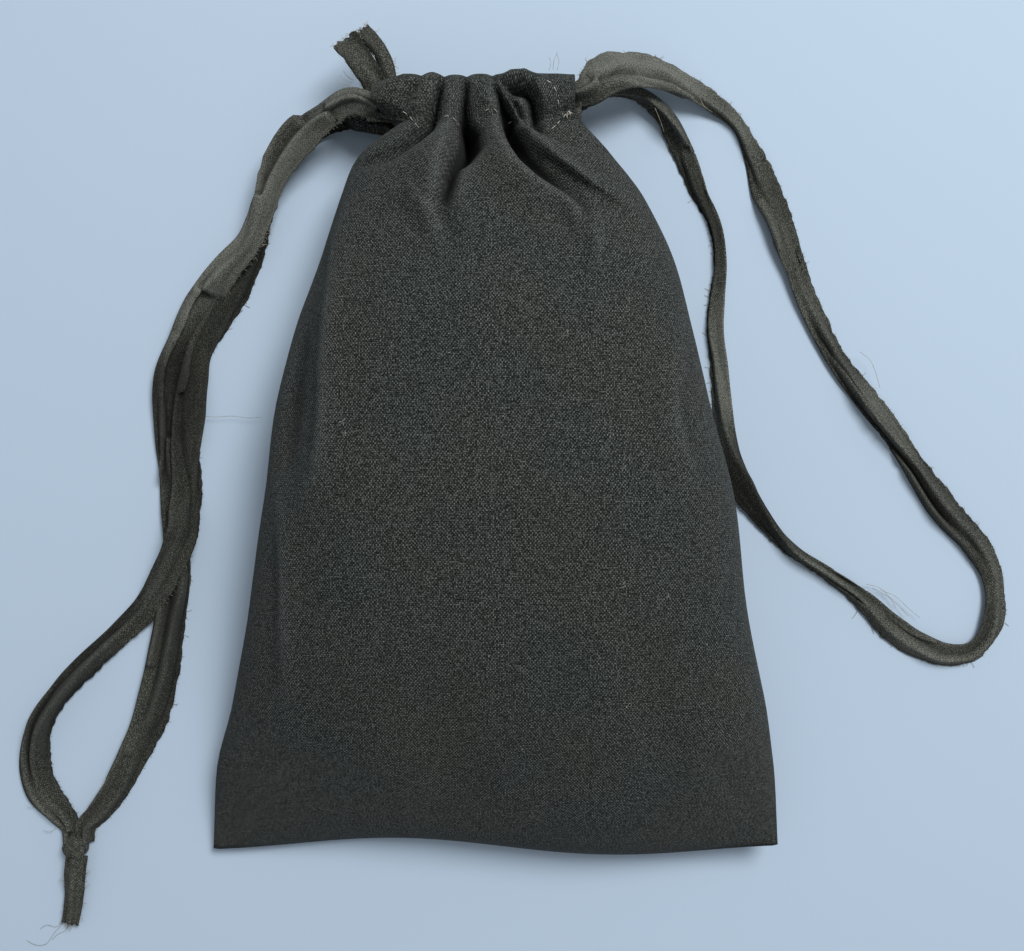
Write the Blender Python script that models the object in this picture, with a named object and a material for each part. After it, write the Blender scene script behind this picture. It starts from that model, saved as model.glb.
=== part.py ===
"""A small drawstring pouch (kinchaku) of charcoal cloth, drawn shut and lying on its back.

Metres, +Z up. The table is the plane z = 0, +Y runs from the bottom fold to the gathered
mouth, and the origin lies on the table under the middle of the cloth. The pouch is one sheet,
folded at the bottom, sewn up both sides and turned over at the mouth, so it is one hollow
wall: round and full in the body, pleated at the neck, and ending in a front and a back
casing. Two drawstrings, torn strips of cloth, run through both casings. One is knotted to
itself at the far end of its strands, the other close to the casings' left end.
"""

import math

import bmesh
import bpy
from mathutils import Vector

# Pouch, laid out as it is cut
POUCH_WIDTH = 0.150
POUCH_LENGTH = 0.200
CLOTH = 0.0009
SIDE_SEAM = 0.0022

# Pouch, as it is filled out and drawn shut
BODY_DEPTH = 0.050
SHOULDER_WIDTH = 0.053
CASING_WIDTH = 0.051
CASING_SHIFT = -0.0045
MOUTH_GAP = 0.006
MOUTH_END = 0.005
NECK_LIFT = 0.0008
FOLD_HEIGHT = 0.0065
FOLD_TILT = 0.0035
FOLD_WAVE = 0.0018
FOLD_WAVE_LENGTH = 0.110
FOLD_WAVE_LOW = 0.030

# Gathers
PLEATS = 6
PLEAT_RISE = 0.003
PLEAT_DEPTH = 0.0045
TOP_ROUNDING = 0.0012

# Drawstrings
CORD_FREE = 0.006
CORD_SQUEEZED = 0.0038
CORD_CLEARANCE = 0.00035
CORD_TAPER = 0.014
CORD_SIDES_STEP = 2
TUNNEL_STRAIGHT = 0.004
KNOT_STRAIGHT = 0.0008
JOINT_GAP = 0.0003

# Knots and their tails
KNOT_LENGTH = 0.007
KNOT_DEPTH = 0.0055
KNOT_ROUNDING = 0.0014
TAIL_THICKNESS = 0.0018
LONG_TAIL = 0.021
LONG_TAIL_WIDTHS = (0.0045, 0.0050)
LONG_TAIL_CURL = 0.0010
LONG_TAIL_DRIFT = -0.0030
STUB_KNOT_OUT = 0.0052
STUB_TAIL = 0.015
STUB_TAIL_WIDTHS = (0.0055, 0.0095)
STUB_TAIL_CURL = 0.0006
STUB_DRIFT = -0.0020
STUB_SIDE_DRIFT = 0.0015
STUB_SPREAD = 0.0045

# Sizes that follow from those above
BORE_DEPTH = CORD_SQUEEZED + 2 * CORD_CLEARANCE
BORE_HEIGHT = 2 * CORD_SQUEEZED + 3 * CORD_CLEARANCE
CASING_HEIGHT = BORE_HEIGHT + 2 * CLOTH
CASING_DEPTH = BORE_DEPTH + 2 * CLOTH
Y_TOP = POUCH_LENGTH / 2
Y_SEAM = Y_TOP - CASING_HEIGHT
Y_BORE = Y_TOP - CLOTH - BORE_HEIGHT / 2
BODY_LENGTH = POUCH_LENGTH - CASING_HEIGHT
NECK_MID = NECK_LIFT + PLEAT_RISE + CASING_DEPTH + MOUTH_GAP / 2
NECK_RISE = MOUTH_GAP / 2 + CASING_DEPTH
BORE_OFFSET = MOUTH_GAP / 2 + CLOTH + BORE_DEPTH / 2
CORD_PITCH = CORD_SQUEEZED + CORD_CLEARANCE
CASING_LEFT = CASING_SHIFT - CASING_WIDTH / 2
CASING_RIGHT = CASING_SHIFT + CASING_WIDTH / 2

# The body's shape, as pairs of a place and a value. A place is a share of the way from the
# casing seam (0) to the bottom fold (1).
# How far the half width has grown from the shoulder's to the fold's.
SIDE_LINE = ((0, 0), (0.04, 0.13), (0.105, 0.27), (0.28, 0.5), (0.51, 0.69), (0.65, 0.77),
             (0.79, 0.89), (0.89, 0.97), (1, 1))
# How far the front has risen from the neck to the full depth, and from the fold to it.
RISE_FROM_NECK = ((0, 0), (0.04, 0.22), (0.105, 0.5), (0.19, 0.72), (0.28, 0.88), (0.5, 1))
RISE_FROM_FOLD = ((0.5, 1), (0.65, 0.92), (0.79, 0.73), (0.88, 0.52), (0.94, 0.34),
                  (0.98, 0.16), (1, 0))
# How far the side seam has sunk from the neck's height to the fold's.
SINK_LINE = ((0, 0), (0.35, 0), (0.6, 0.15), (0.85, 0.6), (1, 1))
# How much of its full sag the back has.
SAG_LINE = ((0, 1), (0.86, 1), (0.93, 0.8), (0.98, 0.4), (1, 0))
# How far the back hangs clear of the table under the neck.
CLEAR_LINE = ((0, 1), (0.03, 0.7), (0.09, 0), (1, 0))
# How boxy the section is: 2 is an ellipse, and less is pointed at the side seams.
FRONT_FULLNESS = ((0, 3.4), (0.1, 2.7), (0.5, 2.8), (0.8, 2.2), (1, 1.7))
BACK_FULLNESS = ((0, 3.4), (0.2, 3), (0.7, 3), (1, 1.8))
# How deep the pleats are below the casing.
PLEAT_LINE = ((0, 0.75), (0.05, 1), (0.12, 0.8), (0.22, 0.35), (0.34, 0), (1, 0))
# Deep hollows between the front pleats: the place across the front, the width as a share of
# the front, the depth in metres, and how it fades down the body.
HOLLOWS = (
    (0.417, 0.045, 0.0070, ((0, 0.3), (0.03, 1), (0.12, 0.8), (0.24, 0), (1, 0))),
    (0.667, 0.045, 0.0060, ((0, 0.4), (0.03, 1), (0.09, 0.7), (0.18, 0), (1, 0))),
)
CASING_FULLNESS = 6
SAG = 1.14

# Where the rings of the mesh lie
BODY_RINGS = (1, 0.99, 0.97, 0.945, 0.915, 0.88, 0.84, 0.79, 0.73, 0.66, 0.58, 0.5, 0.41, 0.33,
              0.26, 0.2, 0.15, 0.11, 0.075, 0.045, 0.02, 0)
CASING_RINGS = (0.15, 0.5, 0.87, 1)
POCKET_ENDS_AT = 0.985
POINTS_PER_PLEAT = 4
SIDE_POINTS = (0.07, 0.3, 0.6)

# Routes of the free strands over the table, as offsets from the middle of the casing's end
# that they leave, in metres. The height is above the table.
LEFT_FRONT_STRAND = (
    (-0.0060, -0.0022, 0.0180), (-0.0135, -0.0040, 0.0145), (-0.0215, -0.0078, 0.0114),
    (-0.0275, -0.0143, 0.0098), (-0.0310, -0.0233, 0.0095), (-0.0340, -0.0319, 0.0093),
    (-0.0405, -0.0398, 0.0074), (-0.0480, -0.0493, 0.0045), (-0.0540, -0.0590, 0.0032),
    (-0.0577, -0.0676, 0.0031), (-0.0585, -0.0770, 0.0031), (-0.0583, -0.0877, 0.0031),
    (-0.0573, -0.0998, 0.0031), (-0.0548, -0.1119, 0.0031), (-0.0544, -0.1227, 0.0031),
    (-0.0564, -0.1334, 0.0031), (-0.0578, -0.1415, 0.0031), (-0.0592, -0.1495, 0.0031),
    (-0.0630, -0.1616, 0.0031), (-0.0694, -0.1764, 0.0031), (-0.0762, -0.1858, 0.0031),
    (-0.0797, -0.1893, 0.0030), (-0.0798, -0.1935, 0.0030),
)
LEFT_BACK_STRAND = (
    (-0.0060, -0.0022, 0.0062), (-0.0150, -0.0042, 0.0042), (-0.0222, -0.0085, 0.0032),
    (-0.0270, -0.0164, 0.0031), (-0.0304, -0.0245, 0.0031), (-0.0325, -0.0334, 0.0031),
    (-0.0360, -0.0440, 0.0031), (-0.0415, -0.0540, 0.0031), (-0.0472, -0.0639, 0.0031),
    (-0.0500, -0.0741, 0.0031), (-0.0509, -0.0876, 0.0031), (-0.0500, -0.0985, 0.0042),
    (-0.0506, -0.1077, 0.0080), (-0.0534, -0.1148, 0.0095), (-0.0582, -0.1223, 0.0080),
    (-0.0646, -0.1307, 0.0040), (-0.0717, -0.1377, 0.0031), (-0.0787, -0.1442, 0.0031),
    (-0.0868, -0.1528, 0.0031), (-0.0922, -0.1614, 0.0031), (-0.0938, -0.1700, 0.0031),
    (-0.0922, -0.1791, 0.0031), (-0.0875, -0.1853, 0.0031), (-0.0843, -0.1893, 0.0030),
    (-0.0841, -0.1935, 0.0030),
)
RIGHT_LOOP = (
    (0.0040, 0.0028, 0.0188), (0.0090, 0.0062, 0.0176), (0.0145, 0.0088, 0.0158),
    (0.0205, 0.0105, 0.0122), (0.0290, 0.0096, 0.0078), (0.0380, 0.0062, 0.0045),
    (0.0449, 0.0005, 0.0032), (0.0495, -0.0085, 0.0031), (0.0530, -0.0179, 0.0031),
    (0.0576, -0.0273, 0.0031), (0.0610, -0.0372, 0.0031), (0.0651, -0.0488, 0.0031),
    (0.0710, -0.0609, 0.0031), (0.0790, -0.0730, 0.0031), (0.0858, -0.0824, 0.0031),
    (0.0925, -0.0918, 0.0031), (0.1005, -0.1033, 0.0031), (0.1086, -0.1119, 0.0031),
    (0.1140, -0.1213, 0.0031), (0.1151, -0.1307, 0.0031), (0.1126, -0.1388, 0.0031),
    (0.1078, -0.1431, 0.0031), (0.1005, -0.1436, 0.0031), (0.0933, -0.1404, 0.0031),
    (0.0858, -0.1348, 0.0031), (0.0777, -0.1272, 0.0031), (0.0683, -0.1208, 0.0031),
    (0.0602, -0.1154, 0.0031), (0.0535, -0.1079, 0.0031), (0.0476, -0.0990, 0.0031),
    (0.0441, -0.0918, 0.0031), (0.0422, -0.0851, 0.0031), (0.0406, -0.0743, 0.0031),
    (0.0393, -0.0636, 0.0031), (0.0383, -0.0555, 0.0031), (0.0387, -0.0474, 0.0031),
    (0.0396, -0.0372, 0.0031), (0.0385, -0.0281, 0.0031), (0.0347, -0.0192, 0.0031),
    (0.0296, -0.0093, 0.0035), (0.0238, -0.0010, 0.0046), (0.0170, 0.0030, 0.0058),
    (0.0105, 0.0040, 0.0067), (0.0045, 0.0028, 0.0070),
)

# Colours, linear
CHARCOAL_CLOTH = (0.041, 0.045, 0.042, 1)
OLIVE_STRIP = (0.072, 0.075, 0.064, 1)


def clear_scene():
    for thing in list(bpy.data.objects):
        bpy.data.objects.remove(thing, do_unlink=True)


def cloth_material(name, colour, roughness):
    material = bpy.data.materials.new(name)
    material.use_nodes = True
    surface = material.node_tree.nodes["Principled BSDF"]
    surface.inputs["Base Color"].default_value = colour
    surface.inputs["Roughness"].default_value = roughness
    surface.inputs["Metallic"].default_value = 0
    return material


def new_object(name, data, material=None):
    made = bpy.data.objects.new(name, data)
    bpy.context.collection.objects.link(made)
    if material:
        data.materials.append(material)
    return made


def hide_helper(helper):
    helper.hide_render = True
    helper.display_type = "WIRE"


def combine(body, helper, operation):
    """Cuts or joins a helper's shape into a body, with the exact solver."""
    modifier = body.modifiers.new(helper.name, "BOOLEAN")
    modifier.object = helper
    modifier.operation = operation
    modifier.solver = "EXACT"
    hide_helper(helper)


def value_at(pairs, place):
    """The value at a place on a smooth curve through the pairs, which never overshoots them."""
    places, values = zip(*pairs)
    place = min(max(place, places[0]), places[-1])
    slopes = [
        (values[i + 1] - values[i]) / (places[i + 1] - places[i]) for i in range(len(pairs) - 1)
    ]
    tangents = [0.0] * len(pairs)
    for i in range(1, len(pairs) - 1):
        if slopes[i - 1] * slopes[i] > 0:
            tangents[i] = 2 * slopes[i - 1] * slopes[i] / (slopes[i - 1] + slopes[i])
    tangents[0], tangents[-1] = slopes[0], slopes[-1]
    i = max(k for k in range(len(pairs) - 1) if places[k] <= place)
    span = places[i + 1] - places[i]
    t = (place - places[i]) / span
    return (
        values[i] * (1 + 2 * t) * (1 - t) ** 2
        + tangents[i] * span * t * (1 - t) ** 2
        + values[i + 1] * t * t * (3 - 2 * t)
        + tangents[i + 1] * span * t * t * (t - 1)
    )


def places_across():
    """Places from the left side seam (0) to the right one (1), closer at the steep sides."""
    steps = PLEATS * POINTS_PER_PLEAT
    near = [share / steps for share in SIDE_POINTS]
    even = [i / steps for i in range(1, steps)]
    return [0.0, *near, *even, *(1 - place for place in reversed(near)), 1.0]


ACROSS = places_across()


def crown(place, fullness):
    """Height of a full section, 1 in the middle and 0 at both side seams."""
    return max(0.0, 1 - abs(2 * place - 1) ** fullness) ** (1 / fullness)


def body_station(down):
    """The section at a share of the way from the casing seam to the bottom fold."""
    half = (
        SHOULDER_WIDTH / 2
        + (POUCH_WIDTH - SHOULDER_WIDTH) / 2 * value_at(SIDE_LINE, down)
    )
    sink = value_at(SINK_LINE, down)
    tilt = FOLD_TILT * sink
    side = NECK_MID + (FOLD_HEIGHT - NECK_MID) * sink
    neck_top = NECK_MID + NECK_RISE
    fold_top = FOLD_HEIGHT + CLOTH
    if down < 0.5:
        top = neck_top + (BODY_DEPTH - neck_top) * value_at(RISE_FROM_NECK, down)
    else:
        top = fold_top + (BODY_DEPTH - fold_top) * value_at(RISE_FROM_FOLD, down)
    sag = CLOTH + (side * SAG - CLOTH) * value_at(SAG_LINE, down)
    return {
        "y": Y_SEAM - BODY_LENGTH * down,
        "down": down,
        "centre": CASING_SHIFT * 0.5 * value_at(CLEAR_LINE, down),
        "half": half,
        "side": side,
        "tilt": tilt,
        "rise": top - side,
        "sag": sag,
        "clear": (NECK_MID - NECK_RISE) * value_at(CLEAR_LINE, down),
        "front": value_at(FRONT_FULLNESS, down),
        "back": value_at(BACK_FULLNESS, down),
        "pleat": PLEAT_DEPTH * value_at(PLEAT_LINE, down),
        "pleat_mean": 2 / math.pi,
    }


def casing_station(up):
    """The section at a share of the way from the casing seam to the top fold."""
    rounding = TOP_ROUNDING * max(0.0, (up - 0.6) / 0.4) ** 2
    return {
        "y": Y_SEAM + CASING_HEIGHT * up,
        "down": 0.0,
        "centre": CASING_SHIFT,
        "half": CASING_WIDTH / 2 - rounding / 2,
        "side": NECK_MID,
        "tilt": 0.0,
        "rise": NECK_RISE - rounding,
        "sag": NECK_RISE - rounding,
        "clear": 0.0,
        "front": CASING_FULLNESS,
        "back": CASING_FULLNESS,
        "pleat": PLEAT_RISE,
        "pleat_mean": 0.0,
    }


def plain_section(station):
    """(place, on the front, x, z) round the section, before it is pleated."""
    points = []
    for place in ACROSS:
        side = station["side"] + station["tilt"] * (2 * place - 1)
        rise = station["rise"] * crown(place, station["front"])
        points.append((place, True, station["half"] * (2 * place - 1), side + rise))
    for place in reversed(ACROSS[1:-1]):
        side = station["side"] + station["tilt"] * (2 * place - 1)
        sag = station["sag"] * crown(place, station["back"])
        height = max(station["clear"], side - sag)
        points.append((place, False, station["half"] * (2 * place - 1), height))
    return points


def outward(points, i):
    """The section's own outward direction at a point, as (x, z)."""
    before, after = points[i - 1], points[(i + 1) % len(points)]
    along = Vector((after[2] - before[2], after[3] - before[3])).normalized()
    return Vector((-along.y, along.x))


def gather(station, place, on_front):
    """How far the gathers push the cloth out, or in where it is negative."""
    loose = min(1.0, 2 * PLEATS * place, 2 * PLEATS * (1 - place))
    wave = abs(math.sin(math.pi * PLEATS * place)) - station["pleat_mean"]
    push = station["pleat"] * wave
    if on_front and station["pleat_mean"]:
        for middle, width, depth, fade in HOLLOWS:
            near = math.exp(-(((place - middle) / width) ** 2))
            push -= depth * near * value_at(fade, station["down"])
    return push * loose


def fold_wave(x, down):
    """How far the bottom edge is drawn up from its lowest point, fading up the body."""
    turn = 2 * math.pi * (x - FOLD_WAVE_LOW) / FOLD_WAVE_LENGTH
    return FOLD_WAVE * (1 - math.cos(turn)) * max(0.0, 2 * down - 1) ** 3


def outer_ring(station):
    points = plain_section(station)
    ring = []
    for i, (place, on_front, x, z) in enumerate(points):
        push = outward(points, i) * gather(station, place, on_front)
        ring.append(
            Vector(
                (
                    station["centre"] + x + push.x,
                    station["y"] + fold_wave(x, station["down"]),
                    max(0.0, z + push.y),
                )
            )
        )
    return ring


def inner_ring(station):
    """The inside face: the outside one drawn in by the cloth, and by the seams at the sides."""
    points = plain_section(station)
    narrower = (station["half"] - SIDE_SEAM) / station["half"]
    lower = (station["rise"] - CLOTH) / station["rise"]
    drop = station["side"] - max(station["clear"], station["side"] - station["sag"])
    higher = (drop - CLOTH) / drop
    ring = []
    for i, (place, on_front, x, z) in enumerate(points):
        side = station["side"] + station["tilt"] * (2 * place - 1)
        push = outward(points, i) * gather(station, place, on_front)
        height = side + (z - side) * (lower if on_front else higher)
        ring.append(
            Vector(
                (
                    station["centre"] + x * narrower + push.x,
                    station["y"] + fold_wave(x, station["down"]),
                    max(CLOTH, height + push.y),
                )
            )
        )
    return ring


def mouth_ring(y):
    """The inside face of the two casings: a flat slit between them."""
    station = {
        **casing_station(0),
        "half": CASING_WIDTH / 2 - MOUTH_END,
        "rise": MOUTH_GAP / 2,
        "sag": MOUTH_GAP / 2,
    }
    return [Vector((CASING_SHIFT + x, y, z)) for _, _, x, z in plain_section(station)]


def cap_faces(first):
    """Faces that close a ring from its front points to its back ones."""
    last = len(ACROSS) - 1

    def back(k):
        return first + (k if k in (0, last) else 2 * last - k)

    faces = []
    for k in range(last):
        corners = [first + k, first + k + 1, back(k + 1), back(k)]
        faces.append(list(dict.fromkeys(corners)))
    return faces


def pouch_cloth(material):
    body = [body_station(down) for down in BODY_RINGS]
    casing = [casing_station(up) for up in CASING_RINGS]
    rings = [outer_ring(station) for station in body + casing]
    rings += [mouth_ring(station["y"]) for station in reversed(casing)]
    rings.append(mouth_ring(Y_SEAM))
    inside = [station for station in body if 0 < station["down"] < POCKET_ENDS_AT]
    rings += [inner_ring(station) for station in reversed(inside)]

    round_count = len(rings[0])
    faces = cap_faces(0) + cap_faces((len(rings) - 1) * round_count)
    for r in range(len(rings) - 1):
        for i in range(round_count):
            j = (i + 1) % round_count
            low, high = r * round_count, (r + 1) * round_count
            faces.append((low + i, low + j, high + j, high + i))
    mesh = bpy.data.meshes.new("pouch_cloth")
    mesh.from_pydata([point for ring in rings for point in ring], [], faces)
    face_outward(mesh)
    mesh.shade_smooth()
    cloth = new_object("pouch_cloth", mesh, material)
    for side in (1, -1):
        combine(cloth, bore_cutter(side), "DIFFERENCE")
        combine(cloth, slit_cutter(side), "DIFFERENCE")
    return cloth


def face_outward(mesh):
    shape = bmesh.new()
    shape.from_mesh(mesh)
    bmesh.ops.recalc_face_normals(shape, faces=shape.faces)
    shape.to_mesh(mesh)
    shape.free()


def extruded(name, outline, x_start, x_end):
    """A closed solid: an outline of (y, z) points drawn out along X."""
    shape = bmesh.new()
    face = shape.faces.new([shape.verts.new((x_start, y, z)) for y, z in outline])
    made = bmesh.ops.extrude_face_region(shape, geom=[face])
    moved = [item for item in made["geom"] if isinstance(item, bmesh.types.BMVert)]
    bmesh.ops.translate(shape, verts=moved, vec=(x_end - x_start, 0, 0))
    bmesh.ops.recalc_face_normals(shape, faces=shape.faces)
    mesh = bpy.data.meshes.new(name)
    shape.to_mesh(mesh)
    shape.free()
    return new_object(name, mesh)


def bore_cutter(side):
    """The tunnel of a casing, front for side 1 and back for side -1: flat with round ends."""
    radius = BORE_DEPTH / 2
    straight = BORE_HEIGHT / 2 - radius
    z = NECK_MID + side * BORE_OFFSET
    outline = []
    for end in (1, -1):
        for step in range(9):
            angle = math.pi * (step / 8 - 0.5)
            outline.append(
                (
                    Y_BORE + end * (straight + radius * math.cos(angle)),
                    z + end * radius * math.sin(angle),
                )
            )
    past = 0.01
    name = "front_tunnel" if side > 0 else "back_tunnel"
    return extruded(name, outline, CASING_LEFT - past, CASING_RIGHT + past)


def slit_cutter(side):
    """The slit between the front and back casings, right for side 1 and left for side -1."""
    past = 0.005
    y_low, y_high = Y_SEAM + CLOTH, Y_TOP + past
    z_low, z_high = NECK_MID - MOUTH_GAP / 2, NECK_MID + MOUTH_GAP / 2
    outline = [(y_low, z_low), (y_high, z_low), (y_high, z_high), (y_low, z_high)]
    inner = CASING_SHIFT + side * (CASING_WIDTH / 2 - MOUTH_END - SIDE_SEAM)
    outer = CASING_SHIFT + side * (CASING_WIDTH / 2 + past)
    name = "right_slit" if side > 0 else "left_slit"
    return extruded(name, outline, min(inner, outer), max(inner, outer))


def smooth_route(points, step):
    """Points along a smooth curve through the route, at least one for each route point."""
    points = [Vector(p) for p in points]
    ends = [2 * points[0] - points[1], *points, 2 * points[-1] - points[-2]]
    made = []
    for a, b, c, d in zip(ends, ends[1:], ends[2:], ends[3:]):
        knots = [0.0]
        for start, end in ((a, b), (b, c), (c, d)):
            knots.append(knots[-1] + math.sqrt((end - start).length))
        count = max(1, round((c - b).length / step))
        for k in range(count):
            t = knots[1] + (knots[2] - knots[1]) * k / count
            ab = a.lerp(b, (t - knots[0]) / (knots[1] - knots[0]))
            bc = b.lerp(c, (t - knots[1]) / (knots[2] - knots[1]))
            cd = c.lerp(d, (t - knots[2]) / (knots[3] - knots[2]))
            abc = ab.lerp(bc, (t - knots[0]) / (knots[2] - knots[0]))
            bcd = bc.lerp(cd, (t - knots[1]) / (knots[3] - knots[1]))
            made.append(abc.lerp(bcd, (t - knots[1]) / (knots[2] - knots[1])))
    return [*made, points[-1]]


def squeezed(point, tight):
    """The cord's radius: squeezed near the tight places, full elsewhere."""
    away = min((point - place).length for place in tight)
    share = min(1.0, max(0.0, away / CORD_TAPER))
    return (CORD_SQUEEZED + (CORD_FREE - CORD_SQUEEZED) * share) / 2


def drawstring(name, route, tight, material):
    """A strip of cloth as a tube, thinner where a casing or a knot squeezes it."""
    curve = bpy.data.curves.new(name, "CURVE")
    curve.dimensions = "3D"
    curve.bevel_depth = CORD_FREE / 2
    curve.bevel_resolution = CORD_SIDES_STEP
    curve.use_fill_caps = True
    points = smooth_route(route, 2 * CORD_FREE)
    spline = curve.splines.new("POLY")
    spline.points.add(len(points) - 1)
    for slot, point in zip(spline.points, points):
        slot.co = (*point, 1)
        slot.radius = squeezed(point, tight) / (CORD_FREE / 2)
    return new_object(name, curve, material)


def casing_run(y, side, from_x, to_x):
    """Points down one tunnel, with more at its ends so that the cord stays straight in it."""
    z = NECK_MID + side * BORE_OFFSET
    inset = math.copysign(TUNNEL_STRAIGHT, to_x - from_x)
    places = (from_x, from_x + inset, (from_x + to_x) / 2, to_x - inset, to_x)
    return [(x, y, z) for x in places]


def turn_back(x, y):
    """A half turn at the right end, out of the front tunnel and round to the back one."""
    points = []
    for step in range(1, 6):
        angle = math.pi * (0.5 - step / 6)
        points.append(
            (x + BORE_OFFSET * math.cos(angle), y, NECK_MID + BORE_OFFSET * math.sin(angle))
        )
    return points


def from_end(strand, x):
    """A strand's route, placed from the middle of the casing's end at x."""
    return [(x + dx, Y_BORE + dy, z) for dx, dy, z in strand]


def spots_along_casings(y):
    """Places all along both tunnels at one height, where a cord is squeezed."""
    steps = 12
    spots = []
    for side in (1, -1):
        z = NECK_MID + side * BORE_OFFSET
        for k in range(steps + 1):
            x = CASING_LEFT - TUNNEL_STRAIGHT + (CASING_WIDTH + 2 * TUNNEL_STRAIGHT) * k / steps
            spots.append(Vector((x, y, z)))
    return spots


def left_drawstring(material):
    y = Y_BORE - CORD_PITCH / 2
    front = from_end(LEFT_FRONT_STRAND, CASING_LEFT)
    back = from_end(LEFT_BACK_STRAND, CASING_LEFT)
    turn = turn_back(CASING_RIGHT + CORD_CLEARANCE, y)
    route = [
        *reversed(front),
        *casing_run(y, 1, CASING_LEFT, CASING_RIGHT),
        *turn,
        *casing_run(y, -1, CASING_RIGHT, CASING_LEFT),
        *back,
    ]
    tight = [*spots_along_casings(y), *(Vector(p) for p in (*turn, front[-1], back[-1]))]
    return drawstring("drawstring_left", route, tight, material)


def stub_knot_place():
    return Vector((CASING_LEFT - STUB_KNOT_OUT, Y_BORE + CORD_PITCH / 2, NECK_MID))


def right_drawstring(material):
    y = Y_BORE + CORD_PITCH / 2
    knot = stub_knot_place()
    seat = KNOT_DEPTH / 2 + JOINT_GAP
    bend = BORE_OFFSET - seat - KNOT_STRAIGHT

    def into_knot(side):
        """From the knot's face straight out, then a quarter turn towards the tunnel."""
        turn = [
            (
                knot.x + bend * (1 - math.cos(angle)),
                y,
                knot.z + side * (seat + KNOT_STRAIGHT + bend * math.sin(angle)),
            )
            for angle in (0, math.pi / 6, math.pi / 3)
        ]
        return [(knot.x, y, knot.z + side * seat), *turn]

    loop = from_end(RIGHT_LOOP, CASING_RIGHT)
    route = [
        *into_knot(1),
        *casing_run(y, 1, CASING_LEFT, CASING_RIGHT),
        *loop,
        *casing_run(y, -1, CASING_RIGHT, CASING_LEFT),
        *reversed(into_knot(-1)),
    ]
    return drawstring("drawstring_right", route, [*spots_along_casings(y), knot], material)


def lump(name, size, centre, rounding, material):
    """A knot's body: a block of the given size with well rounded edges."""
    shape = bmesh.new()
    bmesh.ops.create_cube(shape, size=1)
    bmesh.ops.scale(shape, verts=shape.verts, vec=size)
    bmesh.ops.bevel(
        shape,
        geom=shape.edges[:],
        offset=rounding,
        segments=3,
        profile=0.5,
        affect="EDGES",
    )
    bmesh.ops.translate(shape, verts=shape.verts, vec=centre)
    mesh = bpy.data.meshes.new(name)
    shape.to_mesh(mesh)
    shape.free()
    mesh.shade_smooth()
    return new_object(name, mesh, material)


def tail(name, start, end, widths, curl):
    """A flat tail of torn cloth from start to end, with the widths there, a bit curled."""
    along = (end - start).normalized()
    sideways = along.cross(Vector((0, 0, 1))).normalized()
    up = sideways.cross(along).normalized()
    shape = bmesh.new()
    rings = []
    steps = 6
    for k in range(steps + 1):
        share = k / steps
        middle = start.lerp(end, share) + up * curl * math.sin(math.pi * share)
        half = (widths[0] + (widths[1] - widths[0]) * share) / 2
        thin = TAIL_THICKNESS / 2
        corners = [
            (-half, 0), (-half * 0.6, -thin), (half * 0.6, -thin),
            (half, 0), (half * 0.6, thin), (-half * 0.6, thin),
        ]
        rings.append([shape.verts.new(middle + sideways * a + up * b) for a, b in corners])
    for one, other in zip(rings, rings[1:]):
        for i in range(len(one)):
            j = (i + 1) % len(one)
            shape.faces.new((one[i], one[j], other[j], other[i]))
    shape.faces.new(reversed(rings[0]))
    shape.faces.new(rings[-1])
    bmesh.ops.recalc_face_normals(shape, faces=shape.faces)
    mesh = bpy.data.meshes.new(name)
    shape.to_mesh(mesh)
    shape.free()
    return new_object(name, mesh)


def left_knot(material):
    """The knot that ties the left drawstring's two ends, with one long tail on the table."""
    front = from_end(LEFT_FRONT_STRAND, CASING_LEFT)[-1]
    back = from_end(LEFT_BACK_STRAND, CASING_LEFT)[-1]
    width = abs(front[0] - back[0]) + CORD_SQUEEZED + 2 * KNOT_ROUNDING
    centre = Vector(
        (
            (front[0] + back[0]) / 2,
            front[1] - JOINT_GAP - KNOT_LENGTH / 2,
            KNOT_DEPTH / 2,
        )
    )
    knot = lump("left_knot", (width, KNOT_LENGTH, KNOT_DEPTH), centre, KNOT_ROUNDING, material)
    start = centre + Vector((0, -KNOT_LENGTH / 4, -KNOT_DEPTH / 2 + TAIL_THICKNESS))
    end = Vector(
        (
            start.x + LONG_TAIL_DRIFT,
            centre.y - KNOT_LENGTH / 2 - LONG_TAIL,
            TAIL_THICKNESS / 2,
        )
    )
    combine(knot, tail("left_tail", start, end, LONG_TAIL_WIDTHS, LONG_TAIL_CURL), "UNION")
    return knot


def right_knot(material):
    """The knot close to the casings' left end, with both tails of its drawstring standing up."""
    centre = stub_knot_place()
    size = (CORD_SQUEEZED + 2 * KNOT_ROUNDING, KNOT_LENGTH, KNOT_DEPTH)
    knot = lump("right_knot", size, centre, KNOT_ROUNDING, material)
    for name, side in (("upper_tail", 1), ("lower_tail", -1)):
        start = centre + Vector((0, KNOT_LENGTH / 4, side * TAIL_THICKNESS * 0.4))
        end = centre + Vector(
            (
                STUB_DRIFT - side * STUB_SIDE_DRIFT,
                KNOT_LENGTH / 2 + STUB_TAIL,
                side * STUB_SPREAD / 2,
            )
        )
        strip = tail(name, start, end, STUB_TAIL_WIDTHS, side * STUB_TAIL_CURL)
        combine(knot, strip, "UNION")
    return knot


def main():
    clear_scene()
    charcoal = cloth_material("charcoal plain-weave cotton", CHARCOAL_CLOTH, 0.9)
    olive = cloth_material("olive torn cotton strip", OLIVE_STRIP, 0.9)
    pouch_cloth(charcoal)
    left_drawstring(olive)
    left_knot(olive)
    right_drawstring(olive)
    right_knot(olive)


main()
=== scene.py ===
"""The looks of a small drawstring pouch of charcoal cotton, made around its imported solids.

Metres, in the frame of the solids: the table is z = 0, +Y runs from the bottom fold to the
gathered mouth. The pouch is one sheet with its gathers, folds and casings. Its drawstrings are
torn strips of olive cotton, folded lengthwise, with frayed edges and knots.
"""

import math
import random
from itertools import accumulate

import bpy
import numpy as np
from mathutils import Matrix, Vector, noise


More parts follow.
